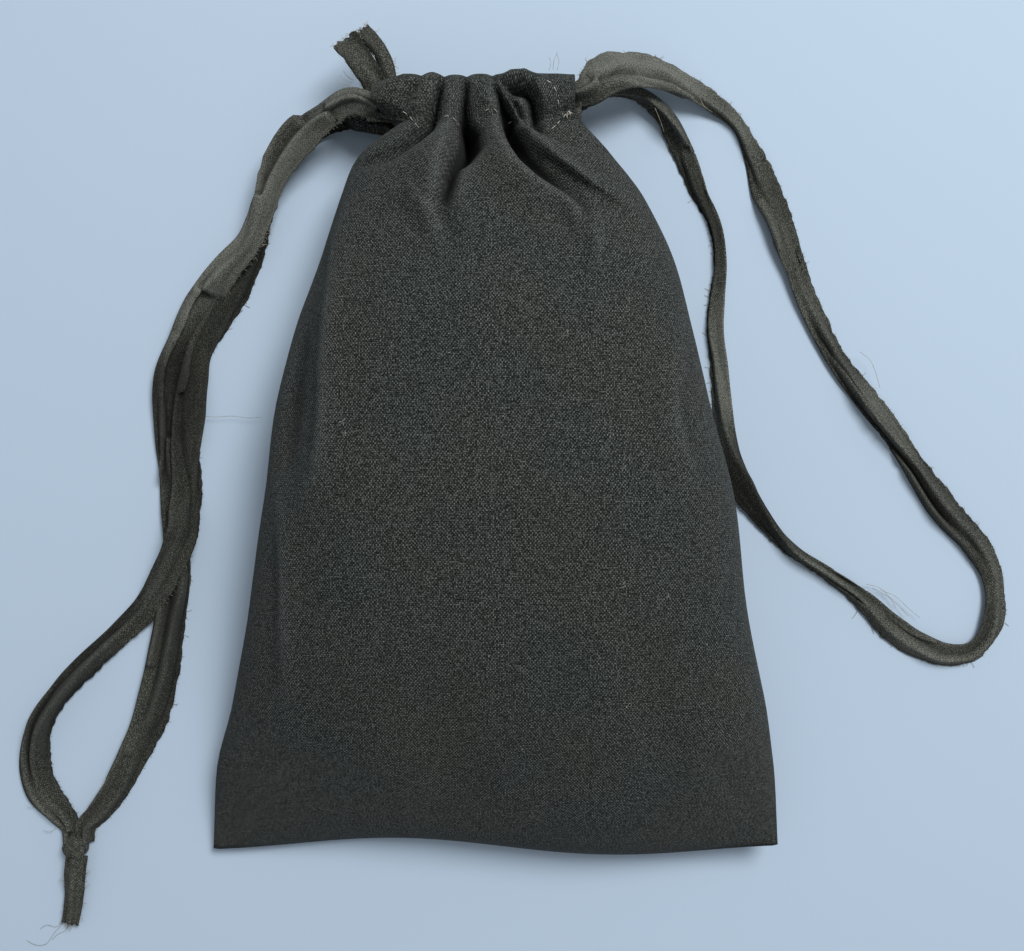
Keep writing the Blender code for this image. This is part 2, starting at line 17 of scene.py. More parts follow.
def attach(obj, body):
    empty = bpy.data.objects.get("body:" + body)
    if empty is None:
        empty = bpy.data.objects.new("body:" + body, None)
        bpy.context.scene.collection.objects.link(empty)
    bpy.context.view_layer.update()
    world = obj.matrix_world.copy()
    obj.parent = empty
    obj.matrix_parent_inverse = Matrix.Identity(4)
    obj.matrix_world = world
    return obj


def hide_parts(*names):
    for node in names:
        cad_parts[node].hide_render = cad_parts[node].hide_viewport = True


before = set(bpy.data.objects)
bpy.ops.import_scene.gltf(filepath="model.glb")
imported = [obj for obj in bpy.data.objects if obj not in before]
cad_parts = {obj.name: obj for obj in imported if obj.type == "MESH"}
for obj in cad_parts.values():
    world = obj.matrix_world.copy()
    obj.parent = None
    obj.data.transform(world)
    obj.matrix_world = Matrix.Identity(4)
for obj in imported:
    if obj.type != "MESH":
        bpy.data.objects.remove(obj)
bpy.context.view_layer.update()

MM = 0.001

# Camera: the photo's size and field of view, straight above the pouch
PHOTO_WIDTH = 1024
PHOTO_HEIGHT = 951
FOCAL_PIXELS = 1150
CAMERA_PLACE = (0.0052, 0.0002, 0.312)

# Sizes of the solids, repeated
POUCH_WIDTH = 0.150
POUCH_LENGTH = 0.200
WALL = 0.0009
BODY_DEPTH = 0.050
SHOULDER_WIDTH = 0.053
CASING_WIDTH = 0.051
CASING_SHIFT = -0.0045
CASING_HEIGHT = 0.01045
FOLD_HEIGHT = 0.0065
FOLD_TILT = 0.0035
FOLD_WAVE = 0.0018
FOLD_WAVE_LENGTH = 0.110
FOLD_WAVE_LOW = 0.030
NECK_MID = 0.0131
NECK_RISE = 0.0093
BORE_OFFSET = 0.00615
CORD_FREE = 0.006
Y_BORE = 0.094775
Y_SEAM = POUCH_LENGTH / 2 - CASING_HEIGHT
LEFT_STRIP_Y = 0.0927
RIGHT_STRIP_Y = 0.09685
CASING_LEFT = CASING_SHIFT - CASING_WIDTH / 2
CASING_RIGHT = CASING_SHIFT + CASING_WIDTH / 2
IN_FRONT = NECK_MID + BORE_OFFSET
BEHIND = NECK_MID - BORE_OFFSET
STUB_KNOT = (-0.0328, 0.0972, 0.0128)
LEFT_KNOT = (-0.11195, -0.10258, 0.00275)

# The body's shape, as pairs of a place and a value. A place is a share of the way from the
# casing seam (0) to the bottom fold (1).
SIDE_LINE = (
    (0, 0), (0.04, 0.13), (0.105, 0.27), (0.28, 0.5), (0.51, 0.69), (0.65, 0.77), (0.79, 0.89),
    (0.89, 0.97), (1, 1),
)
LEAN_LINE = (
    (0, -2), (0.04, -1.7), (0.1, 0.2), (0.185, 1.4), (0.275, 0.6), (0.37, 0.4), (0.505, 2),
    (0.64, 1.5), (0.78, 1.5), (0.875, 0.3), (1, 0),
)
RISE_FROM_NECK = (
    (0, 0), (0.04, 0.22), (0.105, 0.5), (0.19, 0.72), (0.28, 0.88), (0.5, 1),
)
RISE_FROM_FOLD = (
    (0.5, 1), (0.65, 0.92), (0.79, 0.73), (0.88, 0.52), (0.94, 0.34), (0.98, 0.16), (1, 0),
)
SINK_LINE = (
    (0, 0), (0.35, 0), (0.6, 0.15), (0.85, 0.6), (1, 1),
)
SAG_LINE = (
    (0, 1), (0.86, 1), (0.93, 0.8), (0.98, 0.4), (1, 0),
)
CLEAR_LINE = (
    (0, 1), (0.03, 0.7), (0.09, 0), (1, 0),
)
FRONT_FULLNESS = (
    (0, 3.4), (0.1, 2.7), (0.5, 2.8), (0.8, 2.2), (1, 1.7),
)
BACK_FULLNESS = (
    (0, 3.4), (0.2, 3), (0.7, 3), (1, 1.8),
)
PLEAT_FADE = (
    (0, 1), (0.03, 0.95), (0.07, 0.5), (0.13, 0.12), (0.2, 0), (1, 0),
)
SAG = 1.14

# Routes of the free strands, as offsets from the middle of the casing's end they leave
LEFT_FRONT_STRAND = (
    (-0.0060, 0.0008, 0.0180), (-0.0135, -0.0014, 0.0145), (-0.0215, -0.0064, 0.0114),
    (-0.0275, -0.0143, 0.0098), (-0.0310, -0.0233, 0.0095), (-0.0340, -0.0319, 0.0093),
    (-0.0405, -0.0398, 0.0074), (-0.0480, -0.0493, 0.0045), (-0.0540, -0.0590, 0.0032),
    (-0.0577, -0.0676, 0.0031), (-0.0585, -0.0770, 0.0031), (-0.0583, -0.0877, 0.0031),
    (-0.0573, -0.0998, 0.0031), (-0.0548, -0.1119, 0.0031), (-0.0544, -0.1227, 0.0031),
    (-0.0564, -0.1334, 0.0031), (-0.0578, -0.1415, 0.0031), (-0.0592, -0.1495, 0.0031),
    (-0.0630, -0.1616, 0.0031), (-0.0694, -0.1764, 0.0031), (-0.0762, -0.1858, 0.0031),
    (-0.0797, -0.1893, 0.0030), (-0.0798, -0.1935, 0.0030),
)
LEFT_BACK_STRAND = (
    (-0.0060, -0.0022, 0.0062), (-0.0150, -0.0042, 0.0042), (-0.0222, -0.0085, 0.0032),
    (-0.0270, -0.0164, 0.0031), (-0.0304, -0.0245, 0.0031), (-0.0325, -0.0334, 0.0031),
    (-0.0360, -0.0440, 0.0031), (-0.0415, -0.0540, 0.0031), (-0.0472, -0.0639, 0.0031),
    (-0.0500, -0.0741, 0.0031), (-0.0509, -0.0876, 0.0031), (-0.0500, -0.0985, 0.0042),
    (-0.0506, -0.1077, 0.0080), (-0.0534, -0.1148, 0.0095), (-0.0582, -0.1223, 0.0080),
    (-0.0646, -0.1307, 0.0040), (-0.0717, -0.1377, 0.0031), (-0.0787, -0.1442, 0.0031),
    (-0.0868, -0.1528, 0.0031), (-0.0922, -0.1614, 0.0031), (-0.0938, -0.1700, 0.0031),
    (-0.0922, -0.1791, 0.0031), (-0.0875, -0.1853, 0.0031), (-0.0843, -0.1893, 0.0030),
    (-0.0841, -0.1935, 0.0030),
)
RIGHT_LOOP = (
    (0.0040, 0.0028, 0.0188), (0.0090, 0.0062, 0.0176), (0.0145, 0.0088, 0.0158),
    (0.0205, 0.0105, 0.0122), (0.0290, 0.0096, 0.0078), (0.0380, 0.0062, 0.0045),
    (0.0449, 0.0005, 0.0032), (0.0495, -0.0085, 0.0031), (0.0530, -0.0179, 0.0031),
    (0.0576, -0.0273, 0.0031), (0.0610, -0.0372, 0.0031), (0.0651, -0.0488, 0.0031),
    (0.0710, -0.0609, 0.0031), (0.0790, -0.0730, 0.0031), (0.0858, -0.0824, 0.0031),
    (0.0925, -0.0918, 0.0031), (0.1005, -0.1033, 0.0031), (0.1086, -0.1119, 0.0031),
    (0.1140, -0.1213, 0.0031), (0.1151, -0.1307, 0.0031), (0.1126, -0.1388, 0.0031),
    (0.1078, -0.1431, 0.0031), (0.1005, -0.1436, 0.0031), (0.0933, -0.1404, 0.0031),
    (0.0858, -0.1348, 0.0031), (0.0777, -0.1272, 0.0031), (0.0683, -0.1208, 0.0031),
    (0.0602, -0.1154, 0.0031), (0.0535, -0.1079, 0.0031), (0.0476, -0.0990, 0.0031),
    (0.0441, -0.0918, 0.0031), (0.0422, -0.0851, 0.0031), (0.0406, -0.0743, 0.0031),
    (0.0393, -0.0636, 0.0031), (0.0383, -0.0555, 0.0031), (0.0387, -0.0474, 0.0031),
    (0.0396, -0.0372, 0.0031), (0.0385, -0.0281, 0.0031), (0.0347, -0.0192, 0.0031),
    (0.0300, -0.0078, 0.0035), (0.0246, 0.0016, 0.0046), (0.0180, 0.0064, 0.0058),
    (0.0110, 0.0072, 0.0067), (0.0045, 0.0046, 0.0070),
)

# How the strips are folded on the way: the share of the way, the folded width, how far the
# strip lies to the left of its route (mm), its lean in degrees, and the painted light (up to 1)
# and painted shade (down to -1) on its left and its right half.
LEFT_FRONT_FOLDS = (
    (0, 6, -0.6, 0, 0.3, 0.5), (0.04, 6.4, -0.6, 4, 0.4, 0.6), (0.07, 6.6, -0.4, 10, 0.4, 0.3),
    (0.107, 8.9, -0.2, 14, 0.8, -0.2), (0.151, 8, 0, 12, 0.9, 0.1), (0.193, 6.8, 0, 8, 0.85, 0.8),
    (0.233, 6.4, -0.4, 4, 0.65, 0.9), (0.278, 7, -0.4, -6, 0.65, 0.9),
    (0.333, 7.6, -0.2, -10, 0.25, 0.9), (0.383, 7.2, 0.8, -14, -0.7, 0.2),
    (0.424, 8, 0.9, -10, -1, -0.8), (0.5, 7.4, 1.2, -6, -0.8, -0.7),
    (0.564, 7.4, 1.2, 6, -0.8, -0.3), (0.64, 7.4, 0.3, 10, -0.45, -0.55),
    (0.713, 8.6, 0, 8, -0.85, -0.35), (0.784, 9.6, 0, 6, -0.75, -0.25),
    (0.839, 9.6, 0, 10, -0.75, -0.15), (0.91, 8.2, 0, 8, -0.55, -0.15),
    (0.96, 6, 0, 4, -0.45, -0.25), (1, 3.6, 0, 0, -0.2, -0.2),
)
LEFT_BACK_FOLDS = (
    (0, 5, -1, 0, -0.9, -0.9), (0.055, 5.4, -3, -6, -0.9, -0.9), (0.1, 5.6, -3, -10, -0.9, -0.9),
    (0.15, 6.2, -2.2, -14, -0.9, -0.9), (0.2, 7, -1.6, -16, -0.9, -0.8),
    (0.29, 8.4, -2.2, -18, -0.9, -0.7), (0.337, 8.4, -1.8, -14, -0.8, -0.6),
    (0.384, 8.4, -0.8, -12, -0.9, -1), (0.483, 8.4, -0.9, -8, -0.8, -0.7),
    (0.528, 8.2, -1.4, -4, -0.8, -0.5), (0.569, 8.2, -0.5, 2, -0.7, -0.6),
    (0.638, 7.8, 0, 12, -0.25, -0.9), (0.685, 7, 0, 16, -0.35, -1), (0.726, 6, 0, 18, -0.45, -1),
    (0.814, 5.6, 0, 14, -0.55, -0.8), (0.856, 6.6, 0, 10, -0.55, -0.6),
    (0.892, 8.4, 0, 8, -0.55, -0.4), (0.93, 9.2, 0, 6, -0.45, -0.1), (0.962, 7.2, 0, 2, -0.45, 0),
    (1, 3.6, 0, 0, -0.2, -0.2),
)
RIGHT_LOOP_FOLDS = (
    (0, 5.4, 0.6, 0, -0.1, -0.9), (0.012, 8.4, 1.8, -3, 0.4, -0.6), (0.03, 11, 2.6, -6, 0.9, 0.1),
    (0.05, 10.6, 1.6, -8, 1, 0.8), (0.081, 7.8, 0.6, -8, 1, 0.7), (0.105, 5, 0, -4, 0.3, -0.2),
    (0.126, 3.6, 0, 6, 0.6, -0.5), (0.15, 6, 0, 12, 0, -0.4), (0.173, 8.4, 0, 14, -0.4, 0),
    (0.198, 8.8, 0, 12, -0.3, 0.1), (0.223, 6.6, 0, 10, -0.1, -0.3), (0.252, 5.8, 0, 14, 0, 0.2),
    (0.284, 5.6, 0, 10, -0.3, -0.2), (0.318, 6.4, 0, 6, 0.4, -0.4), (0.345, 6, 0, 2, 0.3, -0.6),
    (0.372, 6.6, 0, -4, -0.2, -0.4), (0.405, 7.8, 0, -8, -0.3, -0.5),
    (0.433, 7, 0, -10, -0.1, -0.5), (0.459, 5.4, 0, -4, 0.2, -0.3), (0.481, 7, 0, 4, 0.1, -0.6),
    (0.501, 6, 0, 4, 0.2, -0.5), (0.534, 7.2, 0, 2, 0.5, 0.1), (0.552, 7, 0, 4, 0.3, -0.1),
    (0.574, 6.3, 0, 10, 0, -0.3), (0.6, 4.2, 0, 14, 0.1, -0.2), (0.627, 3, 0, 18, 0.3, -0.2),
    (0.65, 3.2, 0, 20, -0.3, -0.8), (0.674, 5, 0, 16, -1, -1), (0.7, 6.6, 0, 10, -1, -1),
    (0.722, 5.2, 0, 2, -0.4, -0.6), (0.75, 4.8, 0, -8, 0.5, 0.7), (0.786, 4.9, 0, -14, 0.4, 0.8),
    (0.805, 4.8, 0, -16, 0.1, 0.8), (0.824, 4, 0, -16, -0.3, 0.2), (0.848, 3.4, 0, -14, -0.8, -0.1),
    (0.87, 3.8, 0, -12, -0.9, -0.4), (0.892, 5.2, 0, -8, -0.8, 0), (0.922, 5, 0, -8, -0.2, 0.1),
    (0.947, 4, 0, -4, 0.1, -0.1), (0.967, 3.4, 0, 0, 0.2, -0.2), (1, 4.6, 0, 0, -0.5, -0.5),
)
HIDDEN_FOLDS = ((0, 3.6, 0, 0, 0, 0), (1, 3.6, 0, 0, 0, 0))


def colour(hex_text):
    """An sRGB hex colour as linear red, green, blue and alpha."""
    parts = [int(hex_text[i : i + 2], 16) / 255 for i in (1, 3, 5)]
    linear = [c / 12.92 if c <= 0.04045 else ((c + 0.055) / 1.055) ** 2.4 for c in parts]
    return (*linear, 1.0)


def value_at(pairs, place):
    """The value at a place on a smooth curve through the pairs, which never overshoots them."""
    places, values = zip(*pairs)
    place = min(max(place, places[0]), places[-1])
    spans = [b - a for a, b in zip(places, places[1:])]
    slopes = [(b - a) / span for a, b, span in zip(values, values[1:], spans)]
    tangents = [slopes[0]]
    for before, after in zip(slopes, slopes[1:]):
        rising = before * after > 0
        tangents.append(2 * before * after / (before + after) if rising else 0.0)
    tangents.append(slopes[-1])
    i = max(k for k in range(len(spans)) if places[k] <= place)
    t = (place - places[i]) / spans[i]
    start = values[i] * (1 + 2 * t) + tangents[i] * spans[i] * t
    end = values[i + 1] * (3 - 2 * t) + tangents[i + 1] * spans[i] * (t - 1)
    return start * (1 - t) ** 2 + end * t * t


def smooth_route(points, step):
    """Points along a smooth curve through the route, at least one for each route point."""
    points = [Vector(p) for p in points]
    ends = [2 * points[0] - points[1], *points, 2 * points[-1] - points[-2]]
    made = []
    for a, b, c, d in zip(ends, ends[1:], ends[2:], ends[3:]):
        knots = [0.0]
        for start, end in ((a, b), (b, c), (c, d)):
            knots.append(knots[-1] + math.sqrt((end - start).length))
        count = max(1, round((c - b).length / step))
        for k in range(count):
            t = knots[1] + (knots[2] - knots[1]) * k / count
            ab = a.lerp(b, (t - knots[0]) / (knots[1] - knots[0]))
            bc = b.lerp(c, (t - knots[1]) / (knots[2] - knots[1]))
            cd = c.lerp(d, (t - knots[2]) / (knots[3] - knots[2]))
            abc = ab.lerp(bc, (t - knots[0]) / (knots[2] - knots[0]))
            bcd = bc.lerp(cd, (t - knots[1]) / (knots[3] - knots[1]))
            made.append(abc.lerp(bcd, (t - knots[1]) / (knots[2] - knots[1])))
    return [*made, points[-1]]


def distances(points):
    """Distances along a row of points, from its start."""
    steps = ((b - a).length for a, b in zip(points, points[1:]))
    return list(accumulate(steps, initial=0.0))


def smooth_noise(x, y=0.0, z=0.0):
    """Soft noise between about -1 and 1."""
    return noise.noise(Vector((x, y, z)))


def seen(across, down, height):
    """Where a point of the photo lies on the pouch, at a height over the table in metres."""
    scale = (CAMERA_PLACE[2] - height) / FOCAL_PIXELS
    return (
        CAMERA_PLACE[0] + (across - PHOTO_WIDTH / 2) * scale,
        CAMERA_PLACE[1] - (down - PHOTO_HEIGHT / 2) * scale,
    )


def new_object(name, data, material=None):
    made = bpy.data.objects.new(name, data)
    bpy.context.collection.objects.link(made)
    if material:
        data.materials.append(material)
    return made


def grid_faces(rows, columns, first=0, closed=False):
    """Faces of a grid of points, row by row; closed joins the two ends of each row."""
    faces = []
    for low in range(first, first + (rows - 1) * columns, columns):
        for i in range(columns if closed else columns - 1):
            j = (i + 1) % columns
            faces.append((low + i, low + j, low + columns + j, low + columns + i))
    return faces


def make_piece(name, points, faces, material, replaced=None, grain=None, highlight_and_shade=None,
               thick=0.0, offset=0):
    """A smooth piece that rides the body and takes a slot's material. Woven cloth comes with
    the place of each face's corners on the weave, the painted highlight and painted shade of
    each point, and its thickness."""
    mesh = bpy.data.meshes.new(name)
    mesh.from_pydata(points, [], faces)
    if grain:
        # The second map carries each corner's painted highlight and painted shade
        painted_light_corners = [(highlight_and_shade[0][v], highlight_and_shade[1][v]) for face in faces for v in face]
        for layer_name, pairs in (("cloth_grain", grain), ("cloth_highlight_and_shade", painted_light_corners)):
            layer = mesh.uv_layers.new(name=layer_name)
            layer.data.foreach_set("uv", [value for pair in pairs for value in pair])
    mesh.shade_smooth()
    piece = new_object(name, mesh, material)
    if thick:
        cloth = piece.modifiers.new("cloth", "SOLIDIFY")
        cloth.thickness = thick
        cloth.offset = offset
    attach(piece, "root")
    if replaced:
        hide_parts(replaced)
    return piece


def set_camera():
    """The photo's camera: straight above, with its frame and field of view."""
    camera = bpy.data.cameras.new("camera")
    camera.sensor_width = 36
    camera.lens = camera.sensor_width * FOCAL_PIXELS / PHOTO_WIDTH
    camera.clip_start = 0.01
    held = new_object("camera", camera)
    held.location = CAMERA_PLACE
    bpy.context.scene.camera = held


# Materials

# Real sizes on the cloth: a fibre bundle, a slub of the weft and a streak of the warp
FIBRE = 0.385 * MM
SLUB = (2.38 * MM, 0.435 * MM)
STREAK = (0.435 * MM, 2.63 * MM)


def add(tree, kind, inputs=None, **settings):
    """Adds a node, sets it, gives each input a value or a link, and returns its outputs."""
    made = tree.nodes.new(kind)
    for name, value in settings.items():
        setattr(made, name, value)
    for name, value in (inputs or {}).items():
        if isinstance(value, bpy.types.NodeSocket):
            tree.links.new(value, made.inputs[name])
        else:
            made.inputs[name].default_value = value
    return made.outputs


def new_material(name, roughness, sheen=0.0):
    """A matt material: dry fibre or paint, with a faint sheen where it is fuzzy."""
    material = bpy.data.materials.new(name)
    material.use_nodes = True
    surface = material.node_tree.nodes["Principled BSDF"].inputs
    surface["Metallic"].default_value = 0
    surface["Roughness"].default_value = roughness
    surface["IOR"].default_value = 1.47
    surface["Specular IOR Level"].default_value = 0.1
    surface["Sheen Weight"].default_value = sheen
    surface["Sheen Roughness"].default_value = 0.6
    return material, material.node_tree, surface


def tinted(tree, base, layers):
    """A colour under layers of tint. Each layer has a pattern, the range of it that counts, the
    layer's share at both ends of that range, and its colour."""
    for pattern, low, high, share_low, share_high, tint in layers:
        limits = {0: pattern, 1: low, 2: high, 3: share_low, 4: share_high}
        share = add(tree, "ShaderNodeMapRange", limits)[0]
        blend = {0: share, 6: base, 7: colour(tint)}
        base = add(tree, "ShaderNodeMix", blend, data_type="RGBA")[2]
    return base


def plain_weave(tree, grain, pitch):
    """Height of a plain weave's threads, 0 in the holes and 1 on the crowns, each thread
    crossing's own random shade, and whether the warp lies on top there."""
    kind = "ShaderNodeMath"
    waves, crowns, cells = [], [], []
    for way, spacing in zip(add(tree, "ShaderNodeSeparateXYZ", {0: grain}), pitch):
        thread = add(tree, kind, {0: way, 1: spacing}, operation="DIVIDE")[0]
        turn = add(tree, kind, {0: thread, 1: math.pi}, operation="MULTIPLY")[0]
        waves.append(add(tree, kind, {0: turn}, operation="SINE")[0])
        crowns.append(add(tree, kind, {0: waves[-1]}, operation="ABSOLUTE")[0])
        cells.append(add(tree, kind, {0: thread}, operation="FLOOR")[0])
    tops = []
    for crown_here, crown_across in (crowns, crowns[::-1]):
        broad = add(tree, kind, {0: crown_across, 1: 0.45}, operation="POWER")[0]
        tops.append(add(tree, kind, {0: crown_here, 1: broad}, operation="MULTIPLY")[0])
    crossed = add(tree, kind, dict(enumerate(waves)), operation="MULTIPLY")[0]
    over = add(tree, kind, {0: crossed, 1: 0.0}, operation="GREATER_THAN")[0]
    height = add(tree, "ShaderNodeMix", {0: over, 2: tops[1], 3: tops[0]}, data_type="FLOAT")[0]
    crossing = add(tree, "ShaderNodeCombineXYZ", dict(enumerate(cells)))[0]
    shade = add(tree, "ShaderNodeTexWhiteNoise", {0: crossing}, noise_dimensions="2D")[0]
    return height, shade, over


def cloth_material(name, tones, pitch, relief, worn_share, deep_share, wear_and_highlight_share, cloud_size):
    """Cotton in plain weave, yarn-dyed and washed soft: matt, with a grain of single threads in
    uneven tones, slubs along the weft and cloudy patches. Fold edges get a painted highlight,
    partly worn dye, and painted shade darkens the weave's holes and the deep creases. The map
    cloth_highlight_and_shade holds the painted highlight across and the painted shade up."""
    material, tree, surface = new_material(name, 0.95, 0.04)
    grain = add(tree, "ShaderNodeUVMap", uv_map="cloth_grain")[0]
    highlight_and_shade = add(tree, "ShaderNodeUVMap", uv_map="cloth_highlight_and_shade")[0]
    wear_and_highlight, crease, _ = add(tree, "ShaderNodeSeparateXYZ", {0: highlight_and_shade})
    height, shade, over = plain_weave(tree, grain, pitch)
    patterns = []
    for size, detail, roughness in (
        (SLUB, 1.0, 0.5), (STREAK, 1.0, 0.5), ((FIBRE, FIBRE), 1.0, 0.6),
        ((cloud_size, cloud_size), 2.0, 0.45),
    ):
        stretch = {"Vector": grain, "Scale": (1 / size[0], 1 / size[1], 1)}
        place = add(tree, "ShaderNodeMapping", stretch)[0]
        cloudy = {"Vector": place, "Scale": 1.0, "Detail": detail, "Roughness": roughness}
        patterns.append(add(tree, "ShaderNodeTexNoise", cloudy)[0])
    slubs, streaks, fibre, cloud = patterns

    tone = 0.0
    for part, strength in ((fibre, 1.0), (over, 0.15), (shade, 0.16), (slubs, 0.2), (streaks, 0.14)):
        sum_of = {0: part, 1: strength, 2: tone}
        tone = add(tree, "ShaderNodeMath", sum_of, operation="MULTIPLY_ADD")[0]
    cool, warm, pale_and_highlight, deep = tones
    layers = (
        (cloud, 0.36, 0.66, 0.0, 1.0, warm),
        # pale fold edges: painted highlight along the ridges, partly worn dye
        (wear_and_highlight, 0.0, 1.0, 0.0, wear_and_highlight_share, pale_and_highlight),
        (tone, 0.79, 1.13, 0.0, worn_share, pale_and_highlight),
        (tone, 0.62, 0.85, deep_share, 0.0, deep),
        # painted shade in the weave's holes between the threads
        (height, 0.0, 0.85, deep_share, 0.0, deep),
        # painted shade in the creases and deep hollows
        (crease, 0.0, 1.0, 0.0, 1.0, deep),
    )
    tree.links.new(tinted(tree, colour(cool), layers), surface["Base Color"])

    raised = {0: height, 1: 0.5, 2: slubs}
    raised = add(tree, "ShaderNodeMath", raised, operation="MULTIPLY_ADD")[0]
    raised = add(tree, "ShaderNodeMath", {0: raised, 1: shade}, operation="ADD")[0]
    bump = {"Strength": relief, "Distance": 0.1 * MM, "Height": raised}
    tree.links.new(add(tree, "ShaderNodeBump", bump)[0], surface["Normal"])
    return material


def thread_material(name, light, dark, roughness):
    """Loose cotton thread, spun and matt, with a slight change of tone from thread to thread."""
    material, tree, surface = new_material(name, roughness, 0.2)
    place = add(tree, "ShaderNodeTexCoord")["Object"]
    tone = add(tree, "ShaderNodeTexNoise", {"Vector": place, "Scale": 1 / (1.11 * MM)})[0]
    base = tinted(tree, colour(dark), ((tone, 0.35, 0.65, 0.0, 1.0, light),))
    tree.links.new(base, surface["Base Color"])
    return material


# Tones: cool, warm, pale threads that also give the painted highlight on fold ridges, and dark
# threads that also give the painted shade in the weave's holes and the creases
CHARCOAL = cloth_material(
    "charcoal_plain_weave_cotton", ("#2F3634", "#393933", "#7E8380", "#060707"),
    pitch=(0.39 * MM, 0.48 * MM), relief=0.6, worn_share=0.95, deep_share=0.78, wear_and_highlight_share=0.22,
    cloud_size=0.028,
)
# Tones as above: the pale one also gives the painted highlight on raised and lit parts of the
# strips, the dark one the painted shade in their folds and on their shaded halves
OLIVE = cloth_material(
    "olive_torn_cotton", ("#3C3F39", "#4F5049", "#A3A59C", "#0E0F0C"),
    pitch=(0.36 * MM, 0.42 * MM), relief=0.45, worn_share=0.5, deep_share=0.55, wear_and_highlight_share=0.42,
    cloud_size=0.011,
)
RAW_THREAD = thread_material("raw_olive_thread", "#B9B4A2", "#7C776A", 0.85)
CREAM_THREAD = thread_material("cream_sewing_thread", "#D6D2C6", "#A29E93", 0.7)
LINT = thread_material("pale_lint", "#C9C6BC", "#9A988F", 0.9)


# Threads

THREAD_SIDES = 3
FRAY_RADIUS = 0.06 * MM


def threads(name, paths, radius, material):
    """Fine threads as one mesh of thin tubes, tapering at their ends."""
    points, faces = [], []
    for path in paths:
        first = len(points)
        for k, point in enumerate(path):
            along = (path[min(len(path) - 1, k + 1)] - path[max(0, k - 1)]).normalized()
            side = along.cross(Vector((0.3, 0.2, 1))).normalized()
            up = along.cross(side)
            thin = radius * (0.55 if k == len(path) - 1 else 1)
            for i in range(THREAD_SIDES):
                angle = 2 * math.pi * i / THREAD_SIDES
                points.append(point + (side * math.cos(angle) + up * math.sin(angle)) * thin)
        faces += grid_faces(len(path), THREAD_SIDES, first, closed=True)
        faces.append(tuple(range(first, first + THREAD_SIDES))[::-1])
        faces.append(tuple(range(len(points) - THREAD_SIDES, len(points))))
    return make_piece(name, points, faces, material)


def loose_thread(draw, start, direction, length, steps=5):
    """A short curved thread from start, which bends as it goes and falls to the table."""
    path = [start - direction * 0.4 * MM]
    heading = direction.copy()
    turn = Vector((draw.uniform(-1, 1), draw.uniform(-1, 1), draw.uniform(-0.4, 0.2)))
    for _ in range(steps):
        heading = (heading + turn * 0.35 - Vector((0, 0, 0.09))).normalized()
        point = path[-1] + heading * (length / steps)
        point.z = max(0.2 * MM, point.z)
        path.append(point)
    return path


def frays(name, edges, stretches, seed, stumps=0.85):
    """Loose threads along a strip's torn edges. A stretch is a start and an end in metres along
    the strip, a number of threads, and their greatest length. stumps is the share of the edge's
    points that hold the stump of a torn thread."""
    draw = random.Random(seed)
    paths = []
    for start, end, count, longest in stretches:
        near = [edge for edge in edges if start <= edge[3] <= end]
        for _ in range(count):
            place, out, along, _ = draw.choice(near)
            way = out + along * draw.uniform(-1.1, 1.1) + Vector((0, 0, draw.uniform(-0.2, 0.4)))
            length = longest * draw.uniform(0.25, 1) ** 1.6
            paths.append(loose_thread(draw, place, way.normalized(), length))
    for place, out, along, _ in edges:
        if draw.random() < stumps:
            way = out + along * draw.uniform(-0.7, 0.7) + Vector((0, 0, draw.uniform(-0.1, 0.5)))
            length = draw.uniform(0.4, 1.2) * MM
            paths.append(loose_thread(draw, place, way.normalized(), length, steps=2))
    return threads(name, paths, FRAY_RADIUS, RAW_THREAD)


# Torn strips

# How much deeper than the middle of its casing a strip lies inside it, in front and behind
STRIP_SINK = {1: 2.2 * MM, -1: 1.0 * MM}
STRIP_CLOTH = 0.5 * MM
LEAST_HEIGHT = 0.3 * MM
# Creases of a crumpled strip, as pairs of a place across it and a height, shares of its width
# and its thickness, and the gap between its two layers
CREASES = ((-0.5, 0.05), (-0.34, 0.72), (-0.08, 0.22), (0.16, 1.0), (0.5, 0.10))
GAP_DEPTH = 0.5
GAP_WIDTH = 0.06
TOP_POINTS = 19
BOTTOM_POINTS = 6
LOWER_LAYER = 0.84
TORN = 0.45 * MM


def fold_table(rows, share):
    """Width, shift, lean and the painted light and shade of the two halves of a folded strip at
    a share of its way, in metres and radians."""
    width, shift, lean, left_light, right_light = (
        value_at([(row[0], row[k]) for row in rows], share) for k in range(1, 6)
    )
    return width * MM, shift * MM, math.radians(lean), left_light, right_light


def kinks(s, pitch, seed):
    """Noise that swings from one kink to the next, a pitch apart in metres."""
    before = math.floor(s / pitch)
    share = s / pitch - before
    share = share * share * (3 - 2 * share)
    here = noise.cell(Vector((before + 0.5, seed, 0.5)))
    beyond = noise.cell(Vector((before + 1.5, seed, 0.5)))
    return 2 * (here + (beyond - here) * share) - 1


